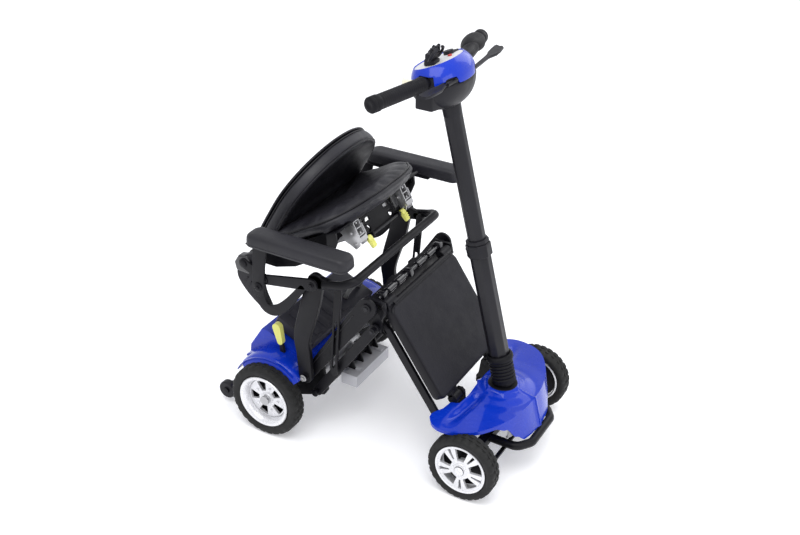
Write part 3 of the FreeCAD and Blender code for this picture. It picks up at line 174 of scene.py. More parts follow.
def make_materials():
    """Every finish by its name: the record's slots and the scene's own looks."""
    def black(value):
        """A black with a slight blue cast."""
        return value, value * 0.96, value * 1.4

    def grey(value, blue=1.02):
        """A near neutral grey."""
        return value, value, value * blue

    return {
        "black_steel": surface("black_steel", black(0.003), black(0.006), (0.34, 0.48), 900, 0.0002,
                               Specular_IOR_Level=0.2),
        "black_tube": surface("black_tube", black(0.005), black(0.008), (0.3, 0.42), 1200, 0.0001,
                              Specular_IOR_Level=0.31),
        "black_plastic": surface("black_plastic", black(0.005), black(0.009), (0.38, 0.52), 700,
                                 0.0002, Specular_IOR_Level=0.26),
        "rubber": surface("rubber", black(0.003), black(0.006), (0.46, 0.62), 1100, 0.0003,
                          cell=True, Specular_IOR_Level=0.17),
        "tyre": surface("tyre", grey(0.006, 1.0), grey(0.013, 1.0), (0.6, 0.8), 500, 0.0004,
                        Specular_IOR_Level=0.32),
        "wheel_silver": surface("wheel_silver", grey(0.66, 1.03), grey(0.76, 1.03), (0.22, 0.34),
                                1500, 0.00008, metallic=0.35),
        "aluminium": surface("aluminium", grey(0.42), grey(0.6), (0.28, 0.42), 1400, 0.0001,
                             metallic=0.8),
        "steel": surface("steel", grey(0.35), grey(0.5), (0.25, 0.4), 1400, 0.0001, metallic=1.0),
        "blue_paint": surface("blue_paint", (0.001, 0.022, 0.36), (0.002, 0.030, 0.43),
                              (0.24, 0.3), 2600, 0.00003, Coat_Weight=0.5, Coat_Roughness=0.03,
                              Specular_IOR_Level=0.12),
        "pale_plastic": surface("pale_plastic", grey(0.55), grey(0.62), (0.35, 0.5), 900, 0.0001),
        "yellow_plastic": surface("yellow_plastic", (0.62, 0.62, 0.12), (0.75, 0.74, 0.2),
                                  (0.3, 0.42), 900, 0.0001),
        "red_plastic": surface("red_plastic", (0.4, 0.02, 0.015), (0.5, 0.03, 0.02),
                               (0.3, 0.4), 900, 0.0001),
        "vinyl": surface("vinyl", black(0.007), black(0.012), (0.42, 0.56), 520, 0.0005,
                         cell=True, Specular_IOR_Level=0.4),
        "fabric": surface("fabric", black(0.0015), black(0.003), (0.75, 0.9), 900, 0.0006,
                          cell=True, Specular_IOR_Level=0.08),
        "piping": surface("piping", black(0.003), black(0.005), (0.4, 0.5), 900, 0.0001,
                          Specular_IOR_Level=0.35),
        "mat": surface("mat", black(0.006), black(0.010), (0.55, 0.7), 260, 0.0008, cell=True,
                       Specular_IOR_Level=0.3),
        "black_gloss": surface("black_gloss", black(0.004), black(0.007), (0.12, 0.2), 900, 0.0001,
                               Coat_Weight=0.6),
        "battery_grey": surface("battery_grey", black(0.018), black(0.026), (0.4, 0.52), 700,
                                0.0002, Specular_IOR_Level=0.3),
        "cast_silver": surface("cast_silver", grey(0.50, 1.06), grey(0.62, 1.06), (0.34, 0.5), 700,
                               0.0002, metallic=0.25),
        "handle_grey": surface("handle_grey", grey(0.10), grey(0.14), (0.35, 0.45), 900, 0.0001),
        "lamp_cream": surface("lamp_cream", (0.78, 0.74, 0.55), (0.86, 0.83, 0.66), (0.15, 0.25),
                              900, 0.00005, Coat_Weight=0.6),
    }


MATERIALS = make_materials()


def paint_nodes():
    """Every carried-over node gets the procedural material of its slot."""
    slots = {part["node"]: part["material_slot"] for part in frame["record"]["subparts"]}
    for name, node in NODES.items():
        node.data.materials.clear()
        node.data.materials.append(MATERIALS[slots[name]])
        for polygon in node.data.polygons:
            polygon.use_smooth = True
        node.data.set_sharp_from_angle(angle=radians(28))


paint_nodes()


# ---- mesh tools -------------------------------------------------------------------------------


def finish_piece(name, shape, body, slot, sharp=32, stands_for=()):
    """Turn a mesh or a list of them into a piece: its material, body, slot and CAD nodes."""
    mesh = join(shape) if isinstance(shape, list) else shape
    mesh.name = name + "_mesh"
    piece = bpy.data.objects.new(name, mesh)
    bpy.context.scene.collection.objects.link(piece)
    mesh.materials.append(MATERIALS[slot])
    for polygon in mesh.polygons:
        polygon.use_smooth = True
    mesh.set_sharp_from_angle(angle=radians(sharp))
    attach(piece, body)
    if stands_for:
        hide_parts(*stands_for)
    return piece


@contextmanager
def editing(mesh):
    """A bmesh of the mesh that is written back at the end."""
    work = bmesh.new()
    work.from_mesh(mesh)
    yield work
    work.to_mesh(mesh)
    work.free()


def mesh_of(points, faces):
    """A mesh of the points, without doubles and with its faces turned outwards."""
    mesh = bpy.data.meshes.new("shape")
    mesh.from_pydata([tuple(point) for point in points], [], faces)
    with editing(mesh) as work:
        bmesh.ops.remove_doubles(work, verts=work.verts, dist=MERGE)
        bmesh.ops.recalc_face_normals(work, faces=work.faces)
    return mesh


def round_edges(work, width, segments, angle):
    """Round every edge that is sharper than an angle in degrees."""
    edges = [edge for edge in work.edges
             if len(edge.link_faces) == 2 and edge.calc_face_angle(0) > radians(angle)]
    bmesh.ops.bevel(work, geom=edges, offset=width, segments=segments, profile=0.6,
                    affect="EDGES", clamp_overlap=True)


def bevelled(mesh, width, segments=3, angle=30):
    """The mesh with its sharp edges rounded."""
    with editing(mesh) as work:
        round_edges(work, width, segments, angle)
    return mesh


def join(meshes):
    """One mesh from several."""
    work = bmesh.new()
    for mesh in meshes:
        work.from_mesh(mesh)
    out = bpy.data.meshes.new("joined")
    work.to_mesh(out)
    work.free()
    return out


def loft(rings, closed=True, caps=True):
    """Quads between equal rings of points."""
    count = len(rings[0])
    points = [point for ring in rings for point in ring]
    faces = []
    for i in range(len(rings) - 1):
        for j in range(count if closed else count - 1):
            k = (j + 1) % count
            faces.append((i * count + j, i * count + k, (i + 1) * count + k, (i + 1) * count + j))
    if caps:
        faces.append(tuple(range(count)))
        faces.append(tuple((len(rings) - 1) * count + j for j in range(count)))
    return mesh_of(points, faces)


def prism(plan, heights, width, segments):
    """An upright block of a plan between two heights, with rounded edges."""
    rings = [[Vector((x, y, z)) for x, y in plan] for z in heights]
    return bevelled(loft(rings), width, segments)


def slab(outline, x, width=0.0, segments=3):
    """A side-view outline, of vectors or (y, z) pairs, made solid between two x."""
    rings = [[Vector((side, *point[-2:])) for point in outline] for side in x]
    mesh = loft(rings)
    return bevelled(mesh, width, segments) if width else mesh


def frame_of(direction):
    """Two unit vectors square to a direction and to each other."""
    direction = direction.normalized()
    side = Vector((0, 0, 1)).cross(direction)
    if side.length < 1e-4:
        side = Vector((1, 0, 0))
    side.normalize()
    return side, direction.cross(side)


def ring(centre, direction, radius, count=24, start=0.0):
    """Points on a circle about a direction."""
    side, top = frame_of(direction)
    turns = [start + 2 * pi * i / count for i in range(count)]
    return [centre + side * (radius * cos(t)) + top * (radius * sin(t)) for t in turns]


def lathe(start, direction, profile, count=32, caps=True):
    """A turned shape: (distance along the axis, radius) pairs from a start point."""
    direction = direction.normalized()
    rings = [ring(start + direction * along, direction, radius, count)
             for along, radius in profile]
    return loft(rings, caps=caps)


def smooth_path(points, steps=6):
    """Points along a Catmull-Rom curve."""
    points = [Vector(point) for point in points]
    ends = [points[0] * 2 - points[1]] + points + [points[-1] * 2 - points[-2]]
    out = []
    for a, b, c, d in zip(ends, ends[1:], ends[2:], ends[3:]):
        for i in range(steps):
            t = i / steps
            out.append(0.5 * ((2 * b) + (c - a) * t + (2 * a - 5 * b + 4 * c - d) * t * t
                              + (3 * b - a - 3 * c + d) * t ** 3))
    return out + [points[-1]]


def hose(points, radius, count=12):
    """A round tube along points; it keeps one twist all the way."""
    rings = []
    side = None
    for i, point in enumerate(points):
        ahead = (points[min(i + 1, len(points) - 1)] - points[max(i - 1, 0)]).normalized()
        if side is None:
            side = frame_of(ahead)[0]
        side = (side - ahead * side.dot(ahead)).normalized()
        top = ahead.cross(side)
        rings.append([point + (side * cos(2 * pi * j / count) + top * sin(2 * pi * j / count))
                      * radius for j in range(count)])
    return loft(rings)


def bolt(place, direction, radius, height, sides=6):
    """A washer and a hexagonal or round head."""
    direction = direction.normalized()
    washer = lathe(place, direction, [(0, radius * 1.45), (height * 0.22, radius * 1.45),
                                            (height * 0.3, radius * 1.3)], 20)
    head = lathe(place + direction * height * 0.3, direction,
                 [(0, radius), (height * 0.6, radius), (height * 0.8, radius * 0.8)], sides)
    return join([washer, head])


def grid_points(place, rows, columns, closed=False):
    """A grid of points from a function of two shares, with its quads."""
    points = [place(i / (rows - 1), j / (columns if closed else columns - 1))
              for i in range(rows) for j in range(columns)]
    faces = []
    for i in range(rows - 1):
        for j in range(columns if closed else columns - 1):
            k = (j + 1) % columns
            faces.append((i * columns + j, i * columns + k, (i + 1) * columns + k,
                          (i + 1) * columns + j))
    return points, faces


# ---- wheels -----------------------------------------------------------------------------------

SPOKES = 5
SPOKE_STEP = 360 / SPOKES
RIM_THICK = 0.007
REAR_WIDTH = 0.048
NUT_CIRCLE = 0.034


def half_height(node):
    """Half the height of a node's box: the radius of a wheel's part."""
    low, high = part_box(node)
    return (high.z - low.z) / 2


def tyre_mesh(axle, outer, width, radius, rim):
    """A solid tyre: rounded walls and a block tread cut by zigzag grooves."""
    deep = radius - rim
    section = [(0.72, rim - 0.002), (0.8, rim + 0.002), (0.96, rim + 0.3 * deep),
               (1.0, rim + 0.55 * deep), (0.97, rim + 0.74 * deep), (0.9, rim + 0.88 * deep),
               (0.78, radius - 0.0013), (0.66, radius - 0.0004), (0.6, radius - 0.0002),
               (0.3, radius), (0.27, radius), (0.22, radius), (0.19, radius)]
    section = section + [(-u, r) for u, r in reversed(section)]
    steps = 168
    middle = outer - width / 2

    def depth(i, u):
        """How deep the tread is cut at a step round the tyre and a share across it."""
        across = abs(u)
        if across > 0.93:
            return 0
        if 0.2 < across < 0.29:
            return 0.0022
        shift = 3 if across < 0.25 else 0
        shift += 0 if u > 0 else 2
        return 0.0024 if (i + shift) % 6 in (0, 1) else 0

    rings = []
    for i in range(steps):
        turn = 2 * pi * i / steps
        points = []
        for u, r in section:
            lean = 0.018 * u
            reach = r - depth(i, u) if r > radius - 0.35 * deep else r
            points.append(Vector((middle + u * width / 2, axle.y + reach * sin(turn + lean),
                                  axle.z + reach * cos(turn + lean))))
        rings.append(points)
    rings.append(rings[0])
    return loft(rings, closed=False, caps=False)


def rim_face(axle, x, radii, openings, thick, dome):
    """A spoked wheel face: a ring of cells with the openings left out, made solid."""
    steps = 180
    work = bmesh.new()
    grid = {}

    def corner(i, j):
        """The vertex at a step round the face and a ring; each is made once."""
        key = (i % steps, j)
        if key not in grid:
            turn = 2 * pi * key[0] / steps
            r = radii[j]
            grid[key] = work.verts.new((x + dome(r), axle.y + r * sin(turn),
                                        axle.z + r * cos(turn)))
        return grid[key]

    for j in range(len(radii) - 1):
        for i in range(steps):
            turn = (i + 0.5) * 2 % 360
            if any(low <= j < high and abs((turn - centre + 180) % 360 - 180) < half
                   for centre, half, low, high in openings):
                continue
            work.faces.new((corner(i, j), corner(i + 1, j), corner(i + 1, j + 1),
                            corner(i, j + 1)))
    work.faces.new([corner(i, 0) for i in range(steps)])
    bmesh.ops.recalc_face_normals(work, faces=work.faces)
    bmesh.ops.solidify(work, geom=work.faces[:], thickness=thick)
    bmesh.ops.recalc_face_normals(work, faces=work.faces)
    mesh = bpy.data.meshes.new("rim_face")
    work.to_mesh(mesh)
    work.free()
    return mesh


def front_wheel(side, word):
    """A front wheel: a flat rim with five wide windows and slots between, and its tyre."""
    body = "front_wheel_" + word
    low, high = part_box("front_tyre_" + word)
    inner, outer = sorted((side * low.x, side * high.x))
    radius, rim = half_height("front_tyre_" + word), half_height("front_rim_" + word)
    axle = FRONT_AXLE
    tyre = tyre_mesh(axle, side * outer, side * (outer - inner), radius, rim)
    finish_piece("front_tyre_look_" + word, tyre, body, "tyre", 40, ["front_tyre_" + word])
    face_x = side * (outer - 0.004)
    radii = [0.006, 0.016, 0.026, 0.031, 0.036, 0.044, 0.052, 0.056, 0.059, rim - 0.0005]
    openings = [(SPOKE_STEP * i, 17.5, 2, 7) for i in range(SPOKES)]
    openings += [(SPOKE_STEP * (i + 0.5), 4.2, 3, 8) for i in range(SPOKES)]

    def dome(r):
        """How far the face stands out at a radius."""
        return side * (-0.0045 * max(0, (r - 0.02) / 0.04) ** 2 if r < 0.058 else -0.001)

    face = rim_face(axle, face_x, radii, openings, RIM_THICK, dome)
    direction = Vector((side, 0, 0))
    start = Vector((side * inner, axle.y, axle.z))
    width = outer - inner
    barrel = lathe(start, direction,
                   [(0.006, rim + 0.0005), (0.004, rim - 0.004), (0.01, rim - 0.007),
                    (width - 0.012, rim - 0.006), (width - 0.0035, rim - 0.004),
                    (width - 0.002, rim + 0.0005)], 72, caps=False)
    hub = lathe(Vector((face_x, axle.y, axle.z)), direction,
                [(-0.03, 0.019), (-0.001, 0.019), (0.0015, 0.0175), (0.0022, 0.013),
                 (0.0060, 0.0128), (0.0078, 0.0118), (0.0084, 0.0098), (0.0084, 0.0034),
                 (0.0078, 0.0030)], 40)
    finish_piece("front_rim_look_" + word, [face, barrel, hub], body, "wheel_silver", 35,
                 ["front_rim_" + word])
    # A black back plate that closes the wheel; its dark is painted shade, standing in for the shaded inside seen
    # through the rim's windows.
    shade_disc = lathe(start, direction, [(0.012, 0.012), (0.012, rim - 0.009), (0.016, rim - 0.009),
                                    (0.016, 0.012)], 48)
    finish_piece("front_shade_disc_" + word, shade_disc, body, "black_steel", 35)


def rear_wheels():
    """Both rear wheels: dished rims with five wide windows, hub caps, wheel nuts and tyres."""
    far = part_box("rear_tyres")[1].x
    radius, rim = half_height("rear_tyres"), half_height("rear_rims")
    axle = REAR_AXLE
    radii = [0.006, 0.015, 0.024, 0.03, 0.038, 0.046, 0.052, 0.0555]
    openings = [(SPOKE_STEP * i + 20, 17, 2, 6) for i in range(SPOKES)]
    tyres, faces, shade_discs = [], [], []
    for side in SIDES:
        direction = Vector((side, 0, 0))
        edge = side * far
        tyres.append(tyre_mesh(axle, edge, side * REAR_WIDTH, radius, rim))
        faces.append(rim_face(axle, edge - side * 0.019, radii, openings, RIM_THICK,
                              lambda r, side=side: side * -0.002 * (r / 0.05) ** 2))
        start = Vector((edge, axle.y, axle.z))
        faces.append(lathe(start, direction,
                           [(-0.0035, rim + 0.0005), (-0.001, rim - 0.001), (-0.001, rim - 0.005),
                            (-0.003, rim - 0.009), (-0.010, rim - 0.013), (-0.020, rim - 0.0165),
                            (-0.030, rim - 0.0155), (-0.044, rim - 0.006)], 96, caps=False))
        faces.append(lathe(start, direction,
                           [(-0.03, 0.018), (-0.0185, 0.018), (-0.0165, 0.0165),
                            (-0.0160, 0.008), (-0.0175, 0.0042), (-0.026, 0.004)], 48))
        for i in range(SPOKES):
            turn = radians(SPOKE_STEP * i + 56)
            place = Vector((edge - side * 0.0175, axle.y + NUT_CIRCLE * sin(turn),
                            axle.z + NUT_CIRCLE * cos(turn)))
            faces.append(lathe(place, direction, [(-0.004, 0.0035), (0.0012, 0.0035),
                                                  (0.002, 0.0025)], 12))
        # A black back plate inside each wheel that closes it; its dark is painted shade, standing in for the
        # wheel's shaded inside seen through the windows.
        shade_discs.append(lathe(start, direction, [(-0.041, 0.012), (-0.041, rim - 0.012),
                                              (-0.037, rim - 0.012), (-0.037, 0.012)], 48))
    finish_piece("rear_tyres_look", tyres, "rear_wheels", "tyre", 40, ["rear_tyres"])
    finish_piece("rear_rims_look", faces, "rear_wheels", "wheel_silver", 35, ["rear_rims"])
    finish_piece("rear_shade_discs", shade_discs, "rear_wheels", "black_steel", 35)


for hand, label in HANDS:
    front_wheel(hand, label)
rear_wheels()


# ---- front unit -------------------------------------------------------------------------------

def blend_value(table, x):
    """Smoothly interpolated value from (x, value) pairs."""
    if x <= table[0][0]:
        return table[0][1]
    for (x0, v0), (x1, v1) in zip(table, table[1:]):
        if x <= x1:
            t = (x - x0) / (x1 - x0)
            t = t * t * (3 - 2 * t)
            return v0 + (v1 - v0) * t
    return table[-1][1]


COVER_TOP = COLUMN_FOOT.z - 0.024
COVER_THICK = 0.003
BOOT_HOLE = 0.031
HEX_PLACE = COLUMN_FOOT + Vector((0, 0.003, 0))
HEX_HALF = (0.048, 0.044)
COVER_EDGE = smooth_path([(x, y, 0) for x, y in (
    (0, -0.396), (0.05, -0.393), (0.105, -0.380), (0.150, -0.360), (0.188, -0.334),
    (0.210, -0.304), (0.221, -0.272), (0.222, -0.244), (0.212, -0.220), (0.192, -0.204))], 8)
COVER_REAR = [Vector((x, y, 0)) for x, y in (
    (0, -0.250), (0.078, -0.250), (0.112, -0.244), (0.120, -0.224), (0.150, -0.219),
    (0.168, -0.208), (0.180, -0.203), (0.192, -0.204))]


def cover_edge(turn):
    """The plan outline of the front cover: a point for a turn from its nose to a rear tip."""
    place = turn * (len(COVER_EDGE) - 1)
    i = min(int(place), len(COVER_EDGE) - 2)
    return COVER_EDGE[i].lerp(COVER_EDGE[i + 1], place - i)


def cover_rear(share):
    """The rear edge of the cover from the middle (0) to a rear tip (1)."""
    runs = list(zip(COVER_REAR, COVER_REAR[1:]))
    left = share * sum((b - a).length for a, b in runs)
    for a, b in runs:
        length = (b - a).length
        if left <= length + 1e-9:
            return a.lerp(b, left / length)
        left -= length
    return COVER_REAR[-1].copy()


def cover_height(x, y):
    """The cover's sculpted top: a rim that dips to the tips, a rise to the boot and scoops."""
    z = COVER_TOP - 0.004
    away = hypot(x / 1.05, y - COLUMN_FOOT.y - 0.004)
    z += blend_value([(0.044, 0.014), (0.058, 0.009), (0.085, 0.003), (0.13, 0)], away)
    z -= blend_value([(0.12, 0), (0.235, 0.005)], abs(x)) * blend_value(
        [(-0.36, 0.15), (-0.22, 1)], y)
    z -= blend_value([(0.0, 0.0), (0.1, 0.002)], -0.30 - y)
    scoop = y + 0.277 - 0.14 * (abs(x) - 0.045)
    z -= 0.0085 * blend_value([(0, 1), (0.021, 0)], abs(scoop)) * blend_value(
        [(0.045, 0), (0.075, 1), (0.14, 0.8), (0.212, 0)], abs(x))
    bead = blend_value([(0.0025, 1), (0.008, 0)], abs(x)) if y < -0.34 else 0
    return z + 0.0035 * bead


def both_sides(place, rows, columns):
    """A grid on each side from a function of the side and two shares, with the quads."""
    points, faces = [], []
    for side in SIDES:
        base = len(points)
        some, quads = grid_points(lambda a, b: place(side, a, b), rows, columns)
        points += some
        faces += [tuple(base + corner for corner in quad) for quad in quads]
    return points, faces


def top_point(side, share, out):
    """A point of the cover's top: share runs along its rear edge, out goes to the outline."""
    place = cover_rear(share).lerp(cover_edge(share), out)
    return Vector((side * place.x, place.y, cover_height(side * place.x, place.y)))


def skirt_point(side, share, drop):
    """A point of the skirt: share runs round the nose, drop goes down from the crease."""
    top = cover_edge(share)
    low = blend_value([(0.0, 0.107), (0.15, 0.107), (0.20, 0.126), (0.26, 0.158), (0.34, 0.172)],
                      share)
    high = cover_height(side * top.x, top.y)
    low = min(low, high - 0.009)
    z = high + (low - high) * drop
    lean = 0.019 * (high - z) / 0.07 * (1 - share * 0.9)
    ridge = 0.0016 * blend_value([(0.003, 1), (0.009, 0)], top.x)
    return Vector((side * top.x, top.y - lean - ridge, z))


def front_cover_look():
    """The painted cover: its top and skirt as one thin shell, open under the boot."""
    points, faces = both_sides(top_point, 97, 41)
    below, quads = both_sides(skirt_point, 97, 19)
    faces += [tuple(len(points) + corner for corner in quad) for quad in quads]
    mesh = mesh_of(points + below, faces)
    with editing(mesh) as work:
        hidden = []
        for face in work.faces:
            away = face.calc_center_median() - COLUMN_FOOT
            if face.normal.z > 0.5 and hypot(away.x, away.y - 0.004) < BOOT_HOLE:
                hidden.append(face)
        bmesh.ops.delete(work, geom=hidden, context="FACES")
        bmesh.ops.recalc_face_normals(work, faces=work.faces)
        if sum(face.normal.z for face in work.faces) < 0:
            bmesh.ops.reverse_faces(work, faces=work.faces)
        bmesh.ops.solidify(work, geom=work.faces[:], thickness=COVER_THICK)
    finish_piece("front_cover_look", mesh, "front_unit", "blue_paint", 24, ["front_cover"])


def hex_ring(scale, lift):
    """A hexagon round the column's foot, at a scale and a height over the cover."""
    turns = [pi / 6 + i * pi / 3 for i in range(6)]
    return [Vector((HEX_PLACE.x + HEX_HALF[0] * scale * cos(turn),
                    HEX_PLACE.y + HEX_HALF[1] * scale * sin(turn), COVER_TOP + lift))
            for turn in turns]


def hex_base():
    """The raised hexagonal collar round the boot, its upper edges rounded."""
    rings = [hex_ring(1.62, -0.006), hex_ring(1.34, 0.001), hex_ring(1.06, 0.011),
             hex_ring(0.94, 0.0135), hex_ring(0.72, 0.0135), hex_ring(0.68, 0.004)]
    finish_piece("hex_base", bevelled(loft(rings, caps=False), 0.0022, 3, 12), "front_unit",
                 "blue_paint", 24)


def ridge():
    """The bead that runs from the base over the crease and down the nose."""
    points = [(0, COLUMN_FOOT.y - 0.036, COVER_TOP + 0.008), (0, -0.360, COVER_TOP - 0.002),
              (0, -0.380, COVER_TOP - 0.0065), (0, -0.3955, COVER_TOP - 0.012)]
    bead = hose(smooth_path(points, 6), 0.0036, 10)
    fall = [skirt_point(1, 0, drop) + Vector((0, 0.0002, 0)) for drop in
            (0.02, 0.2, 0.4, 0.6, 0.8, 0.97)]
    lower = hose(fall, 0.0026, 10)
    finish_piece("cover_ridge", [bead, lower], "front_unit", "blue_paint", 40)


def boot_look():
    """The rubber boot round the column's foot: soft ribs under a wider ring."""
    base = column_reach(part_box("boot")[0].z)
    profile = [(base + 0.004, 0.0305)]
    for i in range(6):
        at_rib = base + 0.010 + i * 0.0092
        profile += [(at_rib, 0.0298), (at_rib + 0.0032, 0.0308), (at_rib + 0.0064, 0.0298),
                    (at_rib + 0.0078, 0.0272)]
    top = profile[-1][0]
    profile += [(top + 0.001, 0.0330), (top + 0.004, 0.0342), (top + 0.011, 0.0338),
                (top + 0.015, 0.0315), (top + 0.016, 0.0275)]
    mesh = lathe(COLUMN_FOOT, COLUMN_DIR, profile, 40, caps=False)
    finish_piece("boot_look", mesh, "steering", "rubber", 50, ["boot"])
    place = Vector((HEX_PLACE.x, HEX_PLACE.y, COVER_TOP + 0.0118))
    seal = lathe(place, Vector((0, 0, 1)),
                 [(0, 0.0284), (0, 0.0375), (0.0016, 0.0375), (0.0026, 0.0366), (0.0026, 0.0290),
                  (0.0016, 0.0284)], 48)
    finish_piece("boot_seal", seal, "front_unit", "rubber", 40)


front_cover_look()
hex_base()
ridge()
boot_look()


# ---- tiller -----------------------------------------------------------------------------------

LEVER_LOW, LEVER_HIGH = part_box("drive_lever_right")
HEAD = Vector((0, -0.114, 0.966))
HEAD_HALF = (0.093, 0.064, 0.066)
HEAD_POWER, HEAD_CORNER = 2.25, 0.9
PANEL_NORMAL = Vector((0, 0.35, 0.94)).normalized()
PANEL_PLACE = Vector((0, -0.110, 1.011))
PANEL_BACK = PANEL_NORMAL.cross(Vector((1, 0, 0)))
BAR_Z = (LEVER_LOW.z + LEVER_HIGH.z) / 2 - 0.002


def head_point(turn, z, grow=0.0):
    """A point on the console's rounded body at a height."""
    share = min(0.9999, abs(z - HEAD.z) / (HEAD_HALF[2] + grow))
    reach = (1 - share ** HEAD_POWER) ** (1 / HEAD_POWER)
    c, s = (abs(v) ** HEAD_CORNER * (1 if v > 0 else -1) for v in (cos(turn), sin(turn)))
    return Vector((HEAD.x + (HEAD_HALF[0] + grow) * reach * c,
                   HEAD.y + (HEAD_HALF[1] + grow) * reach * s, z))


def panel_height(turn, grow=0.0, drop=0.0):
    """The height at which the console's body meets the sloping panel plane."""
    low, high = HEAD.z, HEAD.z + HEAD_HALF[2] + grow - 0.0002
    for _step in range(40):
        middle = (low + high) / 2
        inside = (head_point(turn, middle, grow) - PANEL_PLACE).dot(PANEL_NORMAL) < -drop
        low, high = (middle, high) if inside else (low, middle)
    return low


def seam_line(turn):
    """The height of the painted cap's lower edge, which rises towards the front."""
    return 0.957 + 0.004 * cos(2 * turn) + 0.024 * blend_value([(0.1, 0), (0.9, 1)], -sin(turn))


WINDOWS = ((0, 0.40, 0.034), (pi, 0.40, 0.034), (-pi / 2 - 0.66, 0.30, 0.014),
           (-pi / 2 + 0.66, 0.30, 0.014))


def seam(turn):
    """The cap's lower edge with its windows for the grips and the levers."""
    def hump(centre, width, height):
        """A window of a half width, in radians, and a height."""
        away = abs((turn - centre + pi) % (2 * pi) - pi)
        return height * blend_value([(width * 0.6, 1), (width, 0)], away)

    return seam_line(turn) + sum(hump(*window) for window in WINDOWS)


def console_look():
    """The console: a painted cap on a black body with its neck and the lamp's pod."""
    def cap_point(a, b):
        """A point of the cap, from its lower edge to the panel."""
        turn = 2 * pi * b
        return head_point(turn, seam(turn) + (panel_height(turn) - seam(turn)) * a)

    mesh = mesh_of(*grid_points(cap_point, 26, 160, closed=True))
    with editing(mesh) as work:
        if sum(face.normal.dot(face.calc_center_median() - HEAD) for face in work.faces) < 0:
            bmesh.ops.reverse_faces(work, faces=work.faces)
        bmesh.ops.solidify(work, geom=work.faces[:], thickness=0.0035)
    finish_piece("console_cap_look", bevelled(mesh, 0.0009, 2, 50), "tiller_top", "blue_paint",
                 40, ["console_cap"])

    def core_point(a, b):
        """A point of the black body, which lies under the cap's edge."""
        turn = 2 * pi * b
        low = HEAD.z - HEAD_HALF[2] + 0.0002
        high = panel_height(turn, -0.006, 0.006)
        z = low + (high - low) * (1 - cos(pi * a / 1.25)) / (1 - cos(pi / 1.25))
        shrink = 0.006 * blend_value([(-0.003, 0), (0.003, 1)], z - seam_line(turn) + 0.0015)
        return head_point(turn, min(z, high), -shrink)

    rows, columns = 60, 96
    points, faces = grid_points(core_point, rows, columns, closed=True)
    ends = [tuple(start + j for j in range(columns)) for start in (0, (rows - 1) * columns)]
    body = mesh_of(points, faces + ends)
    start = COLUMN_FOOT + COLUMN_DIR * (column_reach(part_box("upper_column")[1].z - 0.005) - 0.020)
    neck = lathe(start, COLUMN_DIR, [(0, 0.0212), (0.003, 0.0222), (0.05, 0.0235)], 24)
    pod = prism(((-0.092, -0.134), (-0.046, -0.150), (-0.046, -0.084), (-0.092, -0.092)),
                (0.9175, 0.958), 0.005, 4)
    finish_piece("console_bowl_look", [body, neck, pod], "tiller_top", "black_plastic", 40,
                 ["console_bowl"])


def panel_look():
    """The pale instrument panel inside the cap, gently domed, with its edge and its marks."""
    def place(a, b):
        """A point of the panel, from its middle to its edge."""
        turn = 2 * pi * b
        edge = head_point(turn, panel_height(turn, -0.0034, 0.0022), -0.0034)
        centre = PANEL_PLACE - PANEL_NORMAL * 0.0022 + Vector((0, 0.004, 0))
        point = centre.lerp(edge, a)
        return point + PANEL_NORMAL * 0.0016 * (1 - a * a)

    panel = mesh_of(*grid_points(place, 14, 96, closed=True))
    lamp = prism(((-0.0955, -0.060), (-0.0955, -0.086), (-0.086, -0.088), (-0.086, -0.056)),
                 (0.963, 0.983), 0.004, 4)
    finish_piece("console_panel_look", panel, "tiller_top", "pale_plastic", 40,
                 ["console_panel"])
    finish_piece("head_lamp", lamp, "tiller_top", "lamp_cream", 40)
    screen = panel_patch((0.052, 0.006), (0.015, 0.012), 0.0022)
    finish_piece("battery_gauge", screen, "tiller_top", "black_plastic", 30)


def panel_spot(x, y, lift=0.0):
    """A point of the panel: across, back along its slope and out of its face."""
    return PANEL_PLACE + Vector((x, 0, 0)) + PANEL_BACK * y + PANEL_NORMAL * lift


def panel_patch(place, half, height):
    """A raised rectangle on the panel with rounded edges."""
    corners = [panel_spot(place[0] + sx * half[0], place[1] + sy * half[1], -0.003)
               for sx, sy in CORNERS]
    rings = [corners, [corner + PANEL_NORMAL * (height + 0.003) for corner in corners]]
    return bevelled(loft(rings), 0.0025, 3)


def grips_look():
    """Round rubber grips with fine rings, an end cap each, and the left hand's palm pad."""
    meshes = []
    bar_y = HEAD.y - 0.002
    for side in SIDES:
        inner = Vector((side * 0.097, bar_y + 0.0028, BAR_Z))
        outer = Vector((side * 0.2525, bar_y + 0.0365, BAR_Z))
        direction = outer - inner
        length = direction.length
        profile = [(0, 0.0150), (0.002, 0.0178), (0.007, 0.0184), (0.012, 0.0170)]
        for i in range(20):
            start = 0.016 + i * 0.0062
            profile += [(start, 0.01695), (start + 0.0012, 0.0171), (start + 0.0045, 0.0171),
                        (start + 0.0057, 0.01695)]
        profile += [(length - 0.016, 0.0172), (length - 0.013, 0.0185), (length - 0.002, 0.0185),
                    (length, 0.0172)]
        meshes.append(lathe(inner, direction, profile, 36))
        meshes.append(lathe(outer, direction,
                            [(0.0002, 0.015), (0.0006, 0.0184), (0.006, 0.0184),
                             (0.0085, 0.0168), (0.0096, 0.013), (0.0098, 0.006),
                             (0.0094, 0.0055)], 36))
    finish_piece("grips_look", meshes, "tiller_top", "rubber", 45, ["grips"])
    middle = Vector((0.196, bar_y + 0.030, BAR_Z + 0.002))
    pad = mesh_of(*grid_points(lambda a, b: palm_point(a, b, middle), 24, 48, closed=True))
    finish_piece("palm_pad", pad, "tiller_top", "rubber", 60)


def palm_point(a, b, middle):
    """A flattened pebble: the palm rest moulded on the left grip."""
    rise, turn = pi * (a - 0.5), 2 * pi * b
    flat = abs(cos(rise)) ** 0.8
    along = 0.056 * flat * cos(turn)
    deep = 0.027 * flat * sin(turn) * (1 + 0.2 * cos(turn))
    up = 0.0175 * (abs(sin(rise)) ** 0.9) * (1 if rise > 0 else -1)
    return middle + Vector((along * 0.978 - deep * 0.2, along * 0.2 + deep * 0.978,
                            up + 0.002 - 8 * deep * deep))


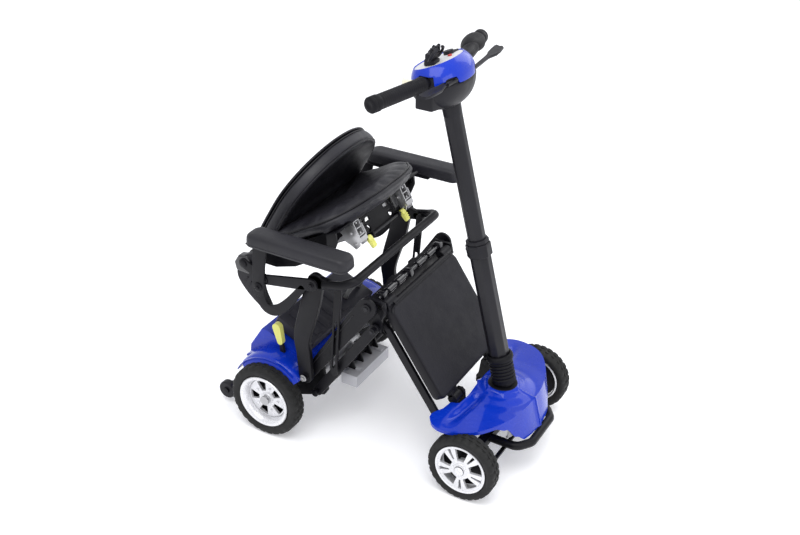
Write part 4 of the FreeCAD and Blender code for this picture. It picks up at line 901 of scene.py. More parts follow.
def lever_look(side, label):
    """A bent lever: a thin arm that twists out to a flat, slightly dished paddle."""
    low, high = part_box("drive_lever_" + label)
    reach = high.x if side > 0 else -low.x
    y = HEAD.y
    path = [(0.038, y - 0.053, 0.004), (0.08, y - 0.050, 0.0045), (reach - 0.088, y - 0.045, 0.005),
            (reach - 0.070, y - 0.0445, 0.008), (reach - 0.056, y - 0.0435, 0.0125),
            (reach - 0.03, y - 0.0405, 0.0135), (reach - 0.008, y - 0.0375, 0.0125),
            (reach - 0.001, y - 0.036, 0.0085)]
    rings = []
    thick = 0.0033
    for x, place, half in path:
        z = BAR_Z + 0.002 - 0.0025 * blend_value([(0.08, 0), (reach - 0.05, 1)], x)
        rings.append([Vector((side * x, place + dy * half, z + dz * thick + 0.002 * dy * dy))
                      for dy, dz in ((-1, -0.5), (-0.9, -1), (0, -1), (0.9, -1), (1, -0.5),
                                     (1, 0.5), (0.9, 1), (0, 1), (-0.9, 1), (-1, 0.5))])
    arm = loft(rings)
    boss = lathe(Vector((side * 0.040, y - 0.048, BAR_Z - 0.004)), Vector((0, 0, 1)),
                 [(0, 0.007), (0.011, 0.007), (0.0125, 0.0055)], 20)
    node = "drive_lever_" + label
    finish_piece("drive_lever_look_" + label, [arm, boss], node, "black_plastic", 45, [node])


def clip_look():
    """The phone clip: a foot, a back plate with windows, two hooked jaws and a knob."""
    low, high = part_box("phone_clip")
    x, y = (low.x + high.x) / 2, (low.y + high.y) / 2
    foot = Vector((x, y, panel_spot(0, y - PANEL_PLACE.y).z - 0.002))
    top = high.z
    pieces = []

    def block(centre, half, width=0.0015):
        """A box from its middle and half sizes, with rounded edges."""
        plan = [(centre[0] + sx * half[0], centre[1] + sy * half[1]) for sx, sy in CORNERS]
        return prism(plan, (centre[2] - half[2], centre[2] + half[2]), width, 2)

    pieces.append(block((x, y, foot.z + 0.006), (0.014, 0.013, 0.008), 0.003))
    pieces.append(block((x + 0.004, y + 0.002, foot.z + 0.019), (0.019, 0.0085, 0.008), 0.003))
    for lift in (0.012, 0.027):
        pieces.append(block((x + 0.002, y - 0.006, foot.z + lift + 0.012), (0.02, 0.003, 0.0025)))
    for step in (-0.017, 0.0, 0.017):
        pieces.append(block((x + 0.002 + step, y - 0.006, foot.z + 0.032), (0.0026, 0.003, 0.011)))
    span = top - foot.z
    for side in SIDES:
        arc = [Vector((x + side * 0.021, y - 0.004, foot.z + 0.014)),
               Vector((x + side * 0.025, y - 0.010, foot.z + span * 0.55)),
               Vector((x + side * 0.021, y - 0.016, foot.z + span * 0.82)),
               Vector((x + side * 0.010, y - 0.019, foot.z + span * 0.93))]
        pieces.append(hose(smooth_path(arc, 6), 0.0034, 10))
    peak = [Vector((x + 0.006, y - 0.002, foot.z + 0.028)),
            Vector((x + 0.007, y + 0.002, foot.z + span * 0.8)),
            Vector((x + 0.008, y - 0.001, top - 0.0035))]
    pieces.append(hose(smooth_path(peak, 6), 0.0032, 10))
    pieces.append(lathe(Vector((x + 0.014, y + 0.008, foot.z + 0.020)),
                        Vector((0.3, 1, 0)), [(0, 0.0085), (0.005, 0.0085), (0.0065, 0.007)], 14))
    finish_piece("phone_clip_look", pieces, "tiller_top", "black_plastic", 40,
                 ["phone_clip"])


def column_tube(start, end, half, cut, width, segments):
    """An octagonal tube between two places along the column, its corners softly rounded."""
    across = Vector((1, 0, 0))
    back = COLUMN_DIR.cross(across)
    outline = [(half, -half + cut), (half, half - cut), (half - cut, half), (-half + cut, half),
               (-half, half - cut), (-half, -half + cut), (-half + cut, -half),
               (half - cut, -half)]
    rings = [[COLUMN_FOOT + COLUMN_DIR * s + across * u + back * v for u, v in outline]
             for s in (start, end)]
    return bevelled(loft(rings), width, segments, 20)


def tube_look(node, body, half, cut, start, end):
    """One of the column's two telescoping tubes."""
    mesh = column_tube(start, end, half, cut, 0.0032, 4)
    finish_piece(node + "_look", mesh, body, "black_tube", 50, [node])


def collar_look():
    """The clamp collar: a stepped ring with a barrel across it and its screw."""
    low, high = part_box("collar")
    start, end = column_reach(low.z + 0.007), column_reach(high.z - 0.007)
    pieces = [column_tube(a, b, half, half * 0.56, 0.0025, 3)
              for a, b, half in ((start, end - 0.011, 0.0285), (end - 0.011, end, 0.0262))]
    across = Vector((1, 0, 0))
    middle = COLUMN_FOOT + COLUMN_DIR * ((start + end) / 2) + COLUMN_DIR.cross(across) * 0.022
    pieces.append(lathe(middle - across * 0.016, across, [(0, 0.0055), (0.032, 0.0055)], 16))
    pieces.append(bolt(middle + across * 0.016, across, 0.0042, 0.004))
    finish_piece("collar_look", pieces, "tiller", "black_plastic", 45, ["collar"])


console_look()
panel_look()
grips_look()
for hand, label in HANDS:
    lever_look(hand, label)
clip_look()
tube_look("lower_column", "tiller", 0.024, 0.0135, 0.060, 0.352)
tube_look("upper_column", "tiller_top", 0.02075, 0.0117, 0.300, 0.716)
collar_look()


# ---- seat, backrest and armrests --------------------------------------------------------------

SEAT_TILT, BACK_LEAN = radians(29), radians(30)
SEAT_AHEAD = Vector((0, -cos(SEAT_TILT), sin(SEAT_TILT)))
SEAT_UP = Vector((0, sin(SEAT_TILT), cos(SEAT_TILT)))
BACK_RISE = Vector((0, -sin(BACK_LEAN), cos(BACK_LEAN)))
BACK_OUT = Vector((0, cos(BACK_LEAN), sin(BACK_LEAN)))
SEAT_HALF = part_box("seat_cushion")[1].x
BACK_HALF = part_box("backrest_cushion")[1].x
VOXEL = 0.005
PUFF_FRAMES = 20


def seat_point(x, s, n):
    """A point of the seat: across, ahead of the hinge and up from its underside."""
    return Vector((x, SEAT_HINGE.y, SEAT_HINGE.z)) + SEAT_AHEAD * s + SEAT_UP * n


def back_point(x, b, n):
    """A point of the backrest: across, up from the hinge and out to its rear."""
    return Vector((x, SEAT_HINGE.y, SEAT_HINGE.z)) + BACK_RISE * b + BACK_OUT * n


def closed_path(points, steps=8):
    """A smooth closed curve through plan points."""
    points = [Vector((x, s, 0)) for x, s in points]
    count = len(points)
    out = []
    for i in range(count):
        a, b, c, d = (points[(i + k - 1) % count] for k in range(4))
        for j in range(steps):
            t = j / steps
            out.append(0.5 * ((2 * b) + (c - a) * t + (2 * a - 5 * b + 4 * c - d) * t * t
                              + (3 * b - a - 3 * c + d) * t ** 3))
    return out


def even(path, count):
    """The same closed curve with evenly spaced points."""
    lengths = [0.0]
    for a, b in zip(path, path[1:] + path[:1]):
        lengths.append(lengths[-1] + (b - a).length)
    out, i = [], 0
    for k in range(count):
        place = lengths[-1] * k / count
        while lengths[i + 1] < place:
            i += 1
        t = (place - lengths[i]) / (lengths[i + 1] - lengths[i])
        out.append(path[i].lerp(path[(i + 1) % len(path)], t))
    return out


def inward(path):
    """The unit vector into the shape at each point of a closed plan curve."""
    count = len(path)
    centre = sum(path, Vector()) / count
    out = []
    for i in range(count):
        along = path[(i + 1) % count] - path[i - 1]
        normal = Vector((-along.y, along.x, 0)).normalized()
        out.append(normal if normal.dot(centre - path[i]) > 0 else -normal)
    return out


def seat_outline():
    """The seat's plan as (x, distance ahead of the hinge) pairs."""
    half = [(0.0, 0.342), (0.06, 0.340), (0.112, 0.329), (0.153, 0.310), (0.184, 0.284),
            (SEAT_HALF - 0.003, 0.256), (SEAT_HALF - 0.001, 0.238), (SEAT_HALF - 0.001, 0.18),
            (SEAT_HALF - 0.001, 0.12), (SEAT_HALF - 0.003, 0.078), (SEAT_HALF - 0.018, 0.061),
            (0.10, 0.058)]
    return half + [(0.0, 0.058)] + [(-x, s) for x, s in reversed(half[1:])]


def back_outline():
    """The backrest's half-moon as (x, distance above the hinge) pairs."""
    low, top, half = 0.066, 0.318, BACK_HALF
    shoulder = low + 0.106
    points = [(0.0, low), (half * 0.55, low), (half - 0.014, low + 0.002),
              (half - 0.002, low + 0.022)]
    for i in range(13):
        turn = pi * i / 12
        points.append((half * cos(turn), shoulder + (top - shoulder) * sin(turn)))
    return points + [(-half + 0.002, low + 0.022), (-half + 0.014, low + 0.002),
                     (-half * 0.55, low)]


def cushion_rings(path, profile, place):
    """Rings from the underside to the face; profile(point) gives (inset, height) pairs."""
    insides = inward(path)
    centre = sum(path, Vector()) / len(path)
    sections = [profile(point) for point in path]
    rings = []
    for level in range(len(sections[0])):
        ring_points = []
        for point, inside, section in zip(path, insides, sections):
            inset, height = section[level]
            spot = point + inside * inset if inset < 0.06 else point.lerp(centre, inset)
            ring_points.append(place(spot.x, spot.y, height))
        rings.append(ring_points)
    return rings


def puffed(mesh, cap):
    """The padded form: remeshed evenly, blown up as cloth within a cap, then smoothed."""
    source = bpy.data.objects.new("form", mesh)
    bpy.context.scene.collection.objects.link(source)
    remesh = source.modifiers.new("even", "REMESH")
    remesh.mode = "VOXEL"
    remesh.voxel_size = VOXEL
    even_mesh = applied(source)
    rest = [vertex.co.copy() for vertex in even_mesh.vertices]
    source.modifiers.clear()
    source.data = even_mesh
    cloth = source.modifiers.new("cloth", "CLOTH")
    settings = cloth.settings
    settings.quality = 5
    settings.use_pressure = True
    settings.uniform_pressure_force = 4.0
    settings.tension_stiffness = 22
    settings.compression_stiffness = 22
    settings.bending_stiffness = 3.0
    settings.effector_weights.gravity = 0
    for frame_number in range(1, PUFF_FRAMES + 1):
        bpy.context.scene.frame_set(frame_number)
    blown = applied(source)
    bpy.context.scene.frame_set(1)
    source.modifiers.clear()
    for vertex, start in zip(blown.vertices, rest):
        move = vertex.co - start
        if move.length > cap:
            move *= cap / move.length
        vertex.co = start + move
    source.data = blown
    smooth = source.modifiers.new("smooth", "SMOOTH")
    smooth.factor = 0.5
    smooth.iterations = 5
    round_off = source.modifiers.new("round", "SUBSURF")
    round_off.levels = 1
    round_off.render_levels = 1
    out = applied(source)
    bpy.data.objects.remove(source)
    return out


def applied(source):
    """A mesh with the object's modifiers applied."""
    graph = bpy.context.evaluated_depsgraph_get()
    graph.update()
    return bpy.data.meshes.new_from_object(source.evaluated_get(graph))


def on_surface(mesh, points, directions, lift):
    """The points moved along their directions onto a mesh's surface, then out by a lift."""
    tree = BVHTree.FromPolygons([vertex.co for vertex in mesh.vertices],
                                [polygon.vertices for polygon in mesh.polygons])
    out = []
    for point, direction in zip(points, directions):
        hit = tree.ray_cast(point - direction * 0.05, direction)[0]
        out.append((hit if hit is not None else point) - direction * lift)
    return out


def groove(mesh, line, width, depth):
    """Press a sewn line into a mesh along closely spaced points."""
    lookup = KDTree(len(line))
    for i, point in enumerate(line):
        lookup.insert(point, i)
    lookup.balance()
    normals = [vertex.normal.copy() for vertex in mesh.vertices]
    for vertex, normal in zip(mesh.vertices, normals):
        near = lookup.find(vertex.co)[2]
        if near < width:
            share = 1 - near / width
            vertex.co -= normal * depth * share * share * (3 - 2 * share)
    mesh.update()


def piping(name, mesh, line, body, radius=0.0019):
    """A covered cord sewn all round a cushion, lying in its own groove."""
    groove(mesh, line, 0.009, 0.0022)
    return finish_piece(name, hose(line + line[:1], radius, 8), body, "piping", 60)


def seat_section(point):
    """The cushion's edge section: upright sides, and a front that falls away."""
    front = blend_value([(0.225, 0.0), (0.325, 1.0)], point.y)
    rear = blend_value([(0.06, 1.0), (0.12, 0.0)], point.y)
    side = [(0.5, 0.000), (0.010, 0.000), (0.003, 0.003), (0.000, 0.012), (0.000, 0.029),
            (0.004, 0.0345), (0.013, 0.0385), (0.030, 0.0395), (0.25, 0.0385), (0.5, 0.0365),
            (0.8, 0.0355), (0.97, 0.035)]
    ahead = [(0.5, 0.000), (0.040, 0.000), (0.010, 0.009), (0.001, 0.020), (0.002, 0.0285),
             (0.009, 0.0335), (0.022, 0.0365), (0.042, 0.039), (0.25, 0.041), (0.5, 0.0385),
             (0.8, 0.036), (0.97, 0.035)]
    back_drop = 0.010 * rear
    return [(a0 + (b0 - a0) * front if a0 < 0.2 else a0,
             max(0.0, a1 + (b1 - a1) * front - (back_drop if i > 3 else 0)))
            for i, ((a0, a1), (b0, b1)) in enumerate(zip(side, ahead))]


def seat_look():
    """The seat cushion, puffed, with a piping round its top and a seam below."""
    path = even(closed_path(seat_outline()), 180)
    rings = cushion_rings(path, seat_section, seat_point)
    mesh = puffed(loft(rings), 0.006)
    insides = inward(path)
    starts, directions = [], []
    for point, inside in zip(path, insides):
        level = seat_section(point)[4]
        starts.append(seat_point(point.x, point.y, level[1] + 0.0015))
        directions.append((seat_point(inside.x, inside.y, 0) - seat_point(0, 0, 0)).normalized())
    line = on_surface(mesh, starts, directions, 0.0004)
    piping("seat_piping_top", mesh, line, "seat")
    starts = [seat_point(point.x, point.y, seat_section(point)[2][1] + 0.003) for point in path]
    lower = on_surface(mesh, starts, directions, 0.0002)
    groove(mesh, lower, 0.006, 0.0014)
    cushion = finish_piece("seat_cushion_look", mesh, "seat", "vinyl", 60, ["seat_cushion"])


def back_section(point):
    """The backrest's edge section, from its rear panel to its dished front face."""
    end = blend_value([(0.07, 1.0), (0.15, 0.0)], point.y)
    face = -0.022 - 0.003 * end
    return [(0.5, 0.0200), (0.030, 0.0205), (0.010, 0.0175), (0.001, 0.0120), (0.000, 0.002),
            (0.0005, -0.010), (0.002, face + 0.004), (0.006, face), (0.020, face + 0.003),
            (0.045, face + 0.009), (0.5, face + 0.017), (0.9, face + 0.020)]


def back_look():
    """The backrest cushion, puffed, with a piping round its rear and its face."""
    path = even(closed_path(back_outline(), 6), 200)
    rings = cushion_rings(path, back_section, back_point)
    mesh = puffed(loft(rings), 0.004)
    directions = [(back_point(inside.x, inside.y, 0) - back_point(0, 0, 0)).normalized()
                  for inside in inward(path)]
    starts = [back_point(point.x, point.y, 0.0135) for point in path]
    piping("backrest_piping_rear", mesh, on_surface(mesh, starts, directions, 0.0004),
           "backrest")
    starts = [back_point(point.x, point.y, back_section(point)[6][1]) for point in path]
    piping("backrest_piping_front", mesh, on_surface(mesh, starts, directions, 0.0),
           "backrest", 0.0015)
    cushion = finish_piece("backrest_cushion_look", mesh, "backrest", "vinyl", 60,
                           ["backrest_cushion"])


def shell_look():
    """The backrest's rear shell: a domed panel with a lip, on two legs to the hinge."""
    path = even(closed_path(back_outline(), 6), 160)

    def section(_point):
        """The same edge section all round."""
        return [(0.9, 0.0185), (0.004, 0.0185), (0.0015, 0.0195), (0.0015, 0.0225),
                (0.004, 0.0245), (0.014, 0.0265), (0.035, 0.0285), (0.3, 0.0300), (0.6, 0.0305),
                (0.9, 0.0305)]

    meshes = [bevelled(loft(cushion_rings(path, section, back_point)), 0.001, 2, 40)]
    for side in SIDES:
        x0, x1 = side * 0.168, side * 0.176
        outline = [back_point(0, b, n) for b, n in
                   ((-0.013, 0.012), (0.02, 0.021), (0.09, 0.028), (0.150, 0.028),
                    (0.150, 0.018), (0.095, 0.016), (0.03, -0.008), (0.012, -0.013),
                    (-0.010, -0.012), (-0.017, 0.0))]
        meshes.append(slab(outline, (x0, x1), 0.0012, 2))
        meshes.append(lathe(Vector((x0, SEAT_HINGE.y, SEAT_HINGE.z)),
                            Vector((side, 0, 0)), [(-0.002, 0.015), (0.0, 0.0168),
                                                   (0.008, 0.0168), (0.010, 0.015)], 32))
    finish_piece("backrest_shell_look", meshes, "backrest", "black_plastic",
                 35, ["backrest_shell"])


def seat_sides():
    """The dark fabric panels that hang from the cushion's sides over the pan's flanges."""
    for side, label in HANDS:
        def place(a, b):
            """A point of the fabric: down from the cushion and ahead from the hinge."""
            s = 0.080 + 0.190 * b
            low = -0.050 + 0.022 * blend_value([(0.0, 1), (0.35, 0)], b)
            low += 0.030 * blend_value([(0.72, 0), (1.0, 1)], b)
            n = 0.004 + (low - 0.004) * a
            fold = 0.0016 * sin(34 * b + 2.2 * a) * sin(pi * a) + 0.0008 * sin(71 * b - 3 * a)
            x = SEAT_HALF - 0.0045 - 0.012 * a + fold
            bow = -0.020 * blend_value([(0.75, 0), (1.0, 1)], b)
            return seat_point(side * (x + bow), s, n)

        panel = mesh_of(*grid_points(place, 16, 48))
        with editing(panel) as work:
            bmesh.ops.solidify(work, geom=work.faces[:], thickness=0.0018)
        finish_piece("seat_side_" + label, panel, "seat", "fabric", 50)


def rounded_plan(half_x, half_y, radius, steps=8):
    """The plan of a box with rounded corners, as (x, y) pairs."""
    points = []
    for sx, sy, start in ((1, 1, 0), (-1, 1, pi / 2), (-1, -1, pi), (1, -1, 3 * pi / 2)):
        for i in range(steps + 1):
            turn = start + pi / 2 * i / steps
            points.append((sx * (half_x - radius) + radius * cos(turn),
                           sy * (half_y - radius) + radius * sin(turn)))
    return points


def armrest_look(label):
    """A moulded armrest pad: a softly crowned top, round ends and a parting line low down."""
    low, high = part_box("armrest_pad_" + label)
    centre = (low + high) / 2
    half_x, half_y, tall = (high.x - low.x) / 2, (high.y - low.y) / 2, high.z - low.z
    levels = [(0.004, 0.0), (0.001, 0.0006), (0.0, 0.003), (0.0, 0.0060), (0.0009, 0.0066),
              (0.0002, 0.0073), (0.0003, 0.014), (0.0010, tall - 0.010), (0.0022, tall - 0.0055),
              (0.0045, tall - 0.0022), (0.0080, tall - 0.0005), (0.013, tall + 0.0003),
              (0.0175, tall + 0.0006)]
    rings = []
    for inset, lift in levels:
        plan = rounded_plan(half_x - inset, half_y - inset, 0.018 - 0.4 * inset)
        ring_points = []
        for x, y in plan:
            end = blend_value([(0.80, 0), (1.0, 1)], abs(y) / half_y)
            ring_points.append(Vector((centre.x + x, centre.y + y,
                                       low.z + lift - 0.0022 * end * lift / tall)))
        rings.append(ring_points)
    pad = finish_piece("armrest_pad_look_" + label, loft(rings),
                       "armrest_" + label, "vinyl", 45, ["armrest_pad_" + label])


seat_look()
seat_sides()
back_look()
shell_look()
for _, label in HANDS:
    armrest_look(label)


# ---- folding frame ----------------------------------------------------------------------------

ARM_RISE = Vector((0, ARM_TOP.y - REAR_PIVOT.y, ARM_TOP.z - REAR_PIVOT.z)).normalized()
PLATE_RISE = Vector((0, PLATE_TOP.y - FRONT_PIVOT.y, PLATE_TOP.z - FRONT_PIVOT.z)).normalized()
PLATE_OUT = Vector((0, -PLATE_RISE.z, PLATE_RISE.y))
PLATE_LENGTH = (PLATE_TOP - FRONT_PIVOT).length
BAR_THICK = 0.0078


def side_point(point):
    """The point moved to the middle plane."""
    return Vector((0, point.y, point.z))


def bar_outline(start, end, half, end_half=None, steps=14):
    """The outline of a flat bar with round ends, as (y, z) pairs; it may taper."""
    end_half = end_half or half
    start, end = side_point(start), side_point(end)
    along = (end - start).normalized()
    out = Vector((0, -along.z, along.y))
    points = []
    for centre, radius, flip in ((end, end_half, 1), (start, half, -1)):
        for i in range(steps + 1):
            turn = pi / 2 - pi * i / steps
            spot = centre + (along * cos(turn) + out * sin(turn)) * radius * flip
            points.append((spot.y, spot.z))
    return points


def arc_turns(start, through, steps=8):
    """Angles of a half turn that begins at one direction and passes another."""
    first = atan2(start.z, start.y)
    cross = start.y * through.z - start.z * through.y
    sign = 1 if cross > 0 else -1
    return [first + sign * pi * (i + 1) / (steps + 1) for i in range(steps)]


def band(path, halves, x, width=0.002):
    """A flat bar of changing width along a side-view path, with round ends."""
    left, right = [], []
    for i, point in enumerate(path):
        ahead = (path[min(i + 1, len(path) - 1)] - path[max(i - 1, 0)]).normalized()
        out = Vector((0, -ahead.z, ahead.y))
        half = blend_value(halves, i / (len(path) - 1))
        left.append(point + out * half)
        right.append(point - out * half)
    end = [path[-1] + Vector((0, cos(t), sin(t))) * halves[-1][1] for t in
           arc_turns(left[-1] - path[-1], path[-1] - path[-2], 10)]
    start = [path[0] + Vector((0, cos(t), sin(t))) * halves[0][1] for t in
             arc_turns(right[0] - path[0], path[0] - path[1], 10)]
    outline = left + end + right[::-1] + start
    return slab(outline, x, width, 3)


def arms_look():
    """Wide pressed arms: a broad rounded head, a groove line and a small triangular mark."""
    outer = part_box("rear_arms")[1].x
    meshes, marks = [], []
    for side in SIDES:
        x = (side * (outer - BAR_THICK), side * outer)
        meshes.append(slab(bar_outline(REAR_PIVOT, ARM_TOP, 0.016, 0.025), x, 0.0016, 3))
        out = Vector((0, -ARM_RISE.z, ARM_RISE.y))
        length = (ARM_TOP - REAR_PIVOT).length
        rise = side_point(REAR_PIVOT)
        line = []
        for share in (0.10, 0.16, 0.5, 0.84):
            half = 0.016 + 0.009 * share
            line.append(rise + ARM_RISE * length * share - out * half * 0.55)
        marks.append(hose([Vector((side * (outer + 0.0002), p.y, p.z)) for p in line],
                          0.0013, 8))
        tip = side_point(ARM_TOP)
        mark = [tip + ARM_RISE * a + out * b for a, b in ((0.013, 0.004), (0.006, -0.003),
                                                          (0.014, -0.006))]
        marks.append(slab(mark, (side * (outer - 0.0005), side * (outer + 0.0006)), 0.0002, 1))
    finish_piece("rear_arms_look", meshes, "rear_arms", "black_steel", 40, ["rear_arms"])
    finish_piece("arm_beads", marks, "rear_arms", "black_tube", 40)


def links_look():
    """The lower links: straight bars behind, and cranked ones beside the floor plate."""
    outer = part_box("rear_links")[1].x
    bar = bar_outline(REAR_LINK, LINK_TOP, 0.013)
    meshes = [slab(bar, (side * (outer - BAR_THICK), side * outer), 0.0014, 3) for side in SIDES]
    finish_piece("rear_links_look", meshes, "rear_links", "black_steel", 40, ["rear_links"])
    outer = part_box("front_links")[1].x
    foot = Vector((0, FRONT_PIVOT.y + (ARM_TOP.y - LINK_TOP.y), FRONT_PIVOT.z
                   - (ARM_TOP.z - LINK_TOP.z)))
    head = side_point(LINK_TOP)
    bends = [foot.lerp(head, share) + PLATE_OUT * 0.007 for share in (0.12, 0.88)]
    path = smooth_path([foot, foot.lerp(bends[0], 0.6), bends[0], bends[0].lerp(bends[1], 0.5),
                        bends[1], bends[1].lerp(head, 0.4), head], 5)
    meshes = [band(path, [(0, 0.010), (1, 0.010)], (side * (outer - 0.010), side * outer))
              for side in SIDES]
    finish_piece("front_links_look", meshes, "front_links", "black_steel", 40, ["front_links"])


def pins_look():
    """Washers and bolt heads at the pivots that show."""
    post_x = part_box("post_frame")[1].x + 0.0006
    arm_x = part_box("rear_arms")[1].x + 0.0008
    silver, dark = [], []
    for side in SIDES:
        out = Vector((side, 0, 0))
        silver.append(bolt(side_point(REAR_PIVOT) + out * post_x, out, 0.0066, 0.006))
        for place, radius in ((ARM_TOP, 0.0062), (LINK_TOP, 0.0046)):
            dark.append(bolt(side_point(place) + out * arm_x, out, radius, 0.005))
    finish_piece("pivot_bolts", silver, "rear_unit", "steel", 35)
    finish_piece("knee_bolts", dark, "apex", "black_tube", 35)


def plate_spot(x, s, n):
    """A point of the floor plate: across, up along it and out of its face."""
    return Vector((x, FRONT_PIVOT.y, FRONT_PIVOT.z)) + PLATE_RISE * s + PLATE_OUT * n


def floor_plate_look():
    """The standing plate: a ribbed mat in a rolled rim, with rounded corners and hinge ears."""
    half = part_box("floor_plate")[1].x
    s_low, s_high, thick = 0.022, 0.285, 0.013

    def plan(inset, radius=0.020):
        """The plate's rounded outline, moved in by an inset."""
        points = []
        for cx, cs, start in ((half - radius, s_high - radius, 0),
                              (-half + radius, s_high - radius, pi / 2),
                              (-half + radius, s_low + radius, pi),
                              (half - radius, s_low + radius, 3 * pi / 2)):
            for i in range(9):
                turn = start + pi / 2 * i / 8
                points.append((cx + (radius - inset) * cos(turn),
                               cs + (radius - inset) * sin(turn)))
        return points

    levels = [(0.012, -0.004), (0.006, -thick + 0.009), (0.0052, -thick + 0.001),
              (0.0035, -thick), (0.001, -thick + 0.0008), (0.0, -thick + 0.003),
              (0.0, thick - 0.005), (0.0010, thick - 0.0022), (0.0028, thick - 0.0008),
              (0.0045, thick - 0.0010), (0.019, thick - 0.0010)]
    meshes = [loft([[plate_spot(x, s, n) for x, s in plan(inset)] for inset, n in levels])]
    for side in SIDES:
        for s0, s1, x0, x1, place, radius in (
                (0.0, 0.06, 0.084, 0.116, FRONT_PIVOT, 0.0135),
                (0.25, PLATE_LENGTH, 0.120, 0.162, PLATE_TOP, 0.0118)):
            x = (side * x0, side * x1)
            outline = [plate_spot(0, s, n) for s, n in ((s0, -0.008), (s1, -0.008), (s1, 0.007),
                                                       (s0, 0.007))]
            meshes.append(slab(outline, x, 0.0012, 2))
            meshes.append(lathe(Vector((x[0], place.y, place.z)),
                                Vector((x[1] - x[0], 0, 0)),
                                [(0, radius - 0.0012), (0.0012, radius),
                                 (abs(x1 - x0) - 0.0012, radius),
                                 (abs(x1 - x0), radius - 0.0012)], 32))
    lip = [plate_spot(x, 0.287, 0.004) for x in (-half + 0.024, -0.05, 0.05, half - 0.024)]
    meshes.append(hose(smooth_path(lip, 4), 0.0085, 20))
    finish_piece("floor_plate_look", meshes, "floor_plate", "black_steel", 40, ["floor_plate"])
    levels = [(0.0050, thick - 0.003), (0.0050, thick - 0.0006), (0.0060, thick),
              (0.012, thick + 0.0001)]
    mat = loft([[plate_spot(x, s, n) for x, s in plan(inset)] for inset, n in levels])
    finish_piece("floor_mat", mat, "floor_plate", "mat", 40)


def posts_look():
    """The two flat posts, bowed a little to the rear, and the bent bar in front, all welded."""
    width, outer = 0.014, 0.220
    knee = Vector((0, 0.147, 0.305))
    foot, top = side_point(REAR_PIVOT), side_point(POST_TOP)
    path = smooth_path([foot, foot.lerp(knee, 0.55), knee, knee.lerp(top, 0.5), top], 6)
    meshes = []
    for side in SIDES:
        x = (side * (outer - width), side * outer)
        meshes.append(band(path, [(0, 0.019), (0.25, 0.0205), (0.8, 0.0255), (1, 0.022)], x,
                           0.0022))
        bridge = bar_outline(top, Vector((0, 0.062, 0.478)), 0.019, 0.012)
        meshes.append(slab(bridge, x, 0.002, 3))
        strut_lug = bar_outline(Vector((0, 0.047, 0.478)), Vector((0, 0.062, 0.478)), 0.010)
        meshes.append(slab(strut_lug, x, 0.002, 3))
    bar = 0.217
    corner = [(-bar, 0.078, 0.477), (-bar, 0.034, 0.4871), (-bar + 0.004, 0.017, 0.4938),
              (-bar + 0.013, 0.005, 0.4984), (-bar + 0.030, 0.0, 0.500)]
    path = [Vector(p) for p in corner] + [Vector((x, 0, 0.500)) for x in (-0.1, 0, 0.1)]
    path += [Vector((-x, y, z)) for x, y, z in reversed(corner)]
    meshes.append(hose(smooth_path(path, 5), 0.011, 24))
    finish_piece("post_frame_look", meshes, "posts", "black_steel", 40, ["post_frame"])


def struts_look():
    """The thin slotted struts with their studs."""
    top = side_point(pivot("strut_swing"))
    lean = radians(4)
    reach = (top.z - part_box("struts")[0].z - 0.010) / cos(lean)
    foot = top + Vector((0, sin(lean), -cos(lean))) * reach
    plate = bar_outline(top, foot, 0.010, steps=12)
    slot = bar_outline(top.lerp(foot, 0.42), top.lerp(foot, 0.93), 0.0042, steps=12)
    meshes = []
    for side in SIDES:
        meshes.append(slotted(plate, slot, (side * 0.198, side * 0.203)))
        meshes.append(bolt(top + Vector((side * 0.203, 0, 0)), Vector((side, 0, 0)), 0.005,
                           0.003))
    finish_piece("struts_look", meshes, "struts", "black_steel", 40, ["struts"])


def slotted(outer, inner, x):
    """A plate with a slot: two outlines of the same number of points, bridged and extruded."""
    count = len(outer)
    points, faces = [], []
    for place in x:
        points += [Vector((place, *point)) for point in outer + inner]
    for i in range(count):
        j = (i + 1) % count
        a, b = 0, 2 * count
        faces.append((a + i, a + j, a + count + j, a + count + i))
        faces.append((b + i, b + j, b + count + j, b + count + i))
        faces.append((a + i, a + j, b + j, b + i))
        faces.append((a + count + i, a + count + j, b + count + j, b + count + i))
    return bevelled(mesh_of(points, faces), 0.0008, 2, 50)


arms_look()
links_look()
pins_look()
floor_plate_look()
posts_look()
struts_look()


# ---- details ----------------------------------------------------------------------------------

SLOT_OF = {part["node"]: part["material_slot"] for part in frame["record"]["subparts"]}
BODY_OF = {node: body for body, nodes in frame["record"]["behaviour"]["bodies"].items()
           for node in nodes}


def softened(node, width=0.001, segments=2, slot=None, angle=32):
    """A node's own shape, cleaned of its triangles and with every edge rounded."""
    source = NODES[node]
    mesh = source.data.copy()
    mesh.transform(source.matrix_world)
    mesh.materials.clear()
    with editing(mesh) as work:
        bmesh.ops.remove_doubles(work, verts=work.verts, dist=MERGE)
        bmesh.ops.dissolve_limit(work, angle_limit=radians(1.0), verts=work.verts,
                                 edges=work.edges, use_dissolve_boundaries=False)
        round_edges(work, width, segments, angle)
        bmesh.ops.triangulate(work, faces=[face for face in work.faces if len(face.verts) > 4])
    return finish_piece(node + "_look", mesh, BODY_OF[node], slot or SLOT_OF[node], 28, [node])


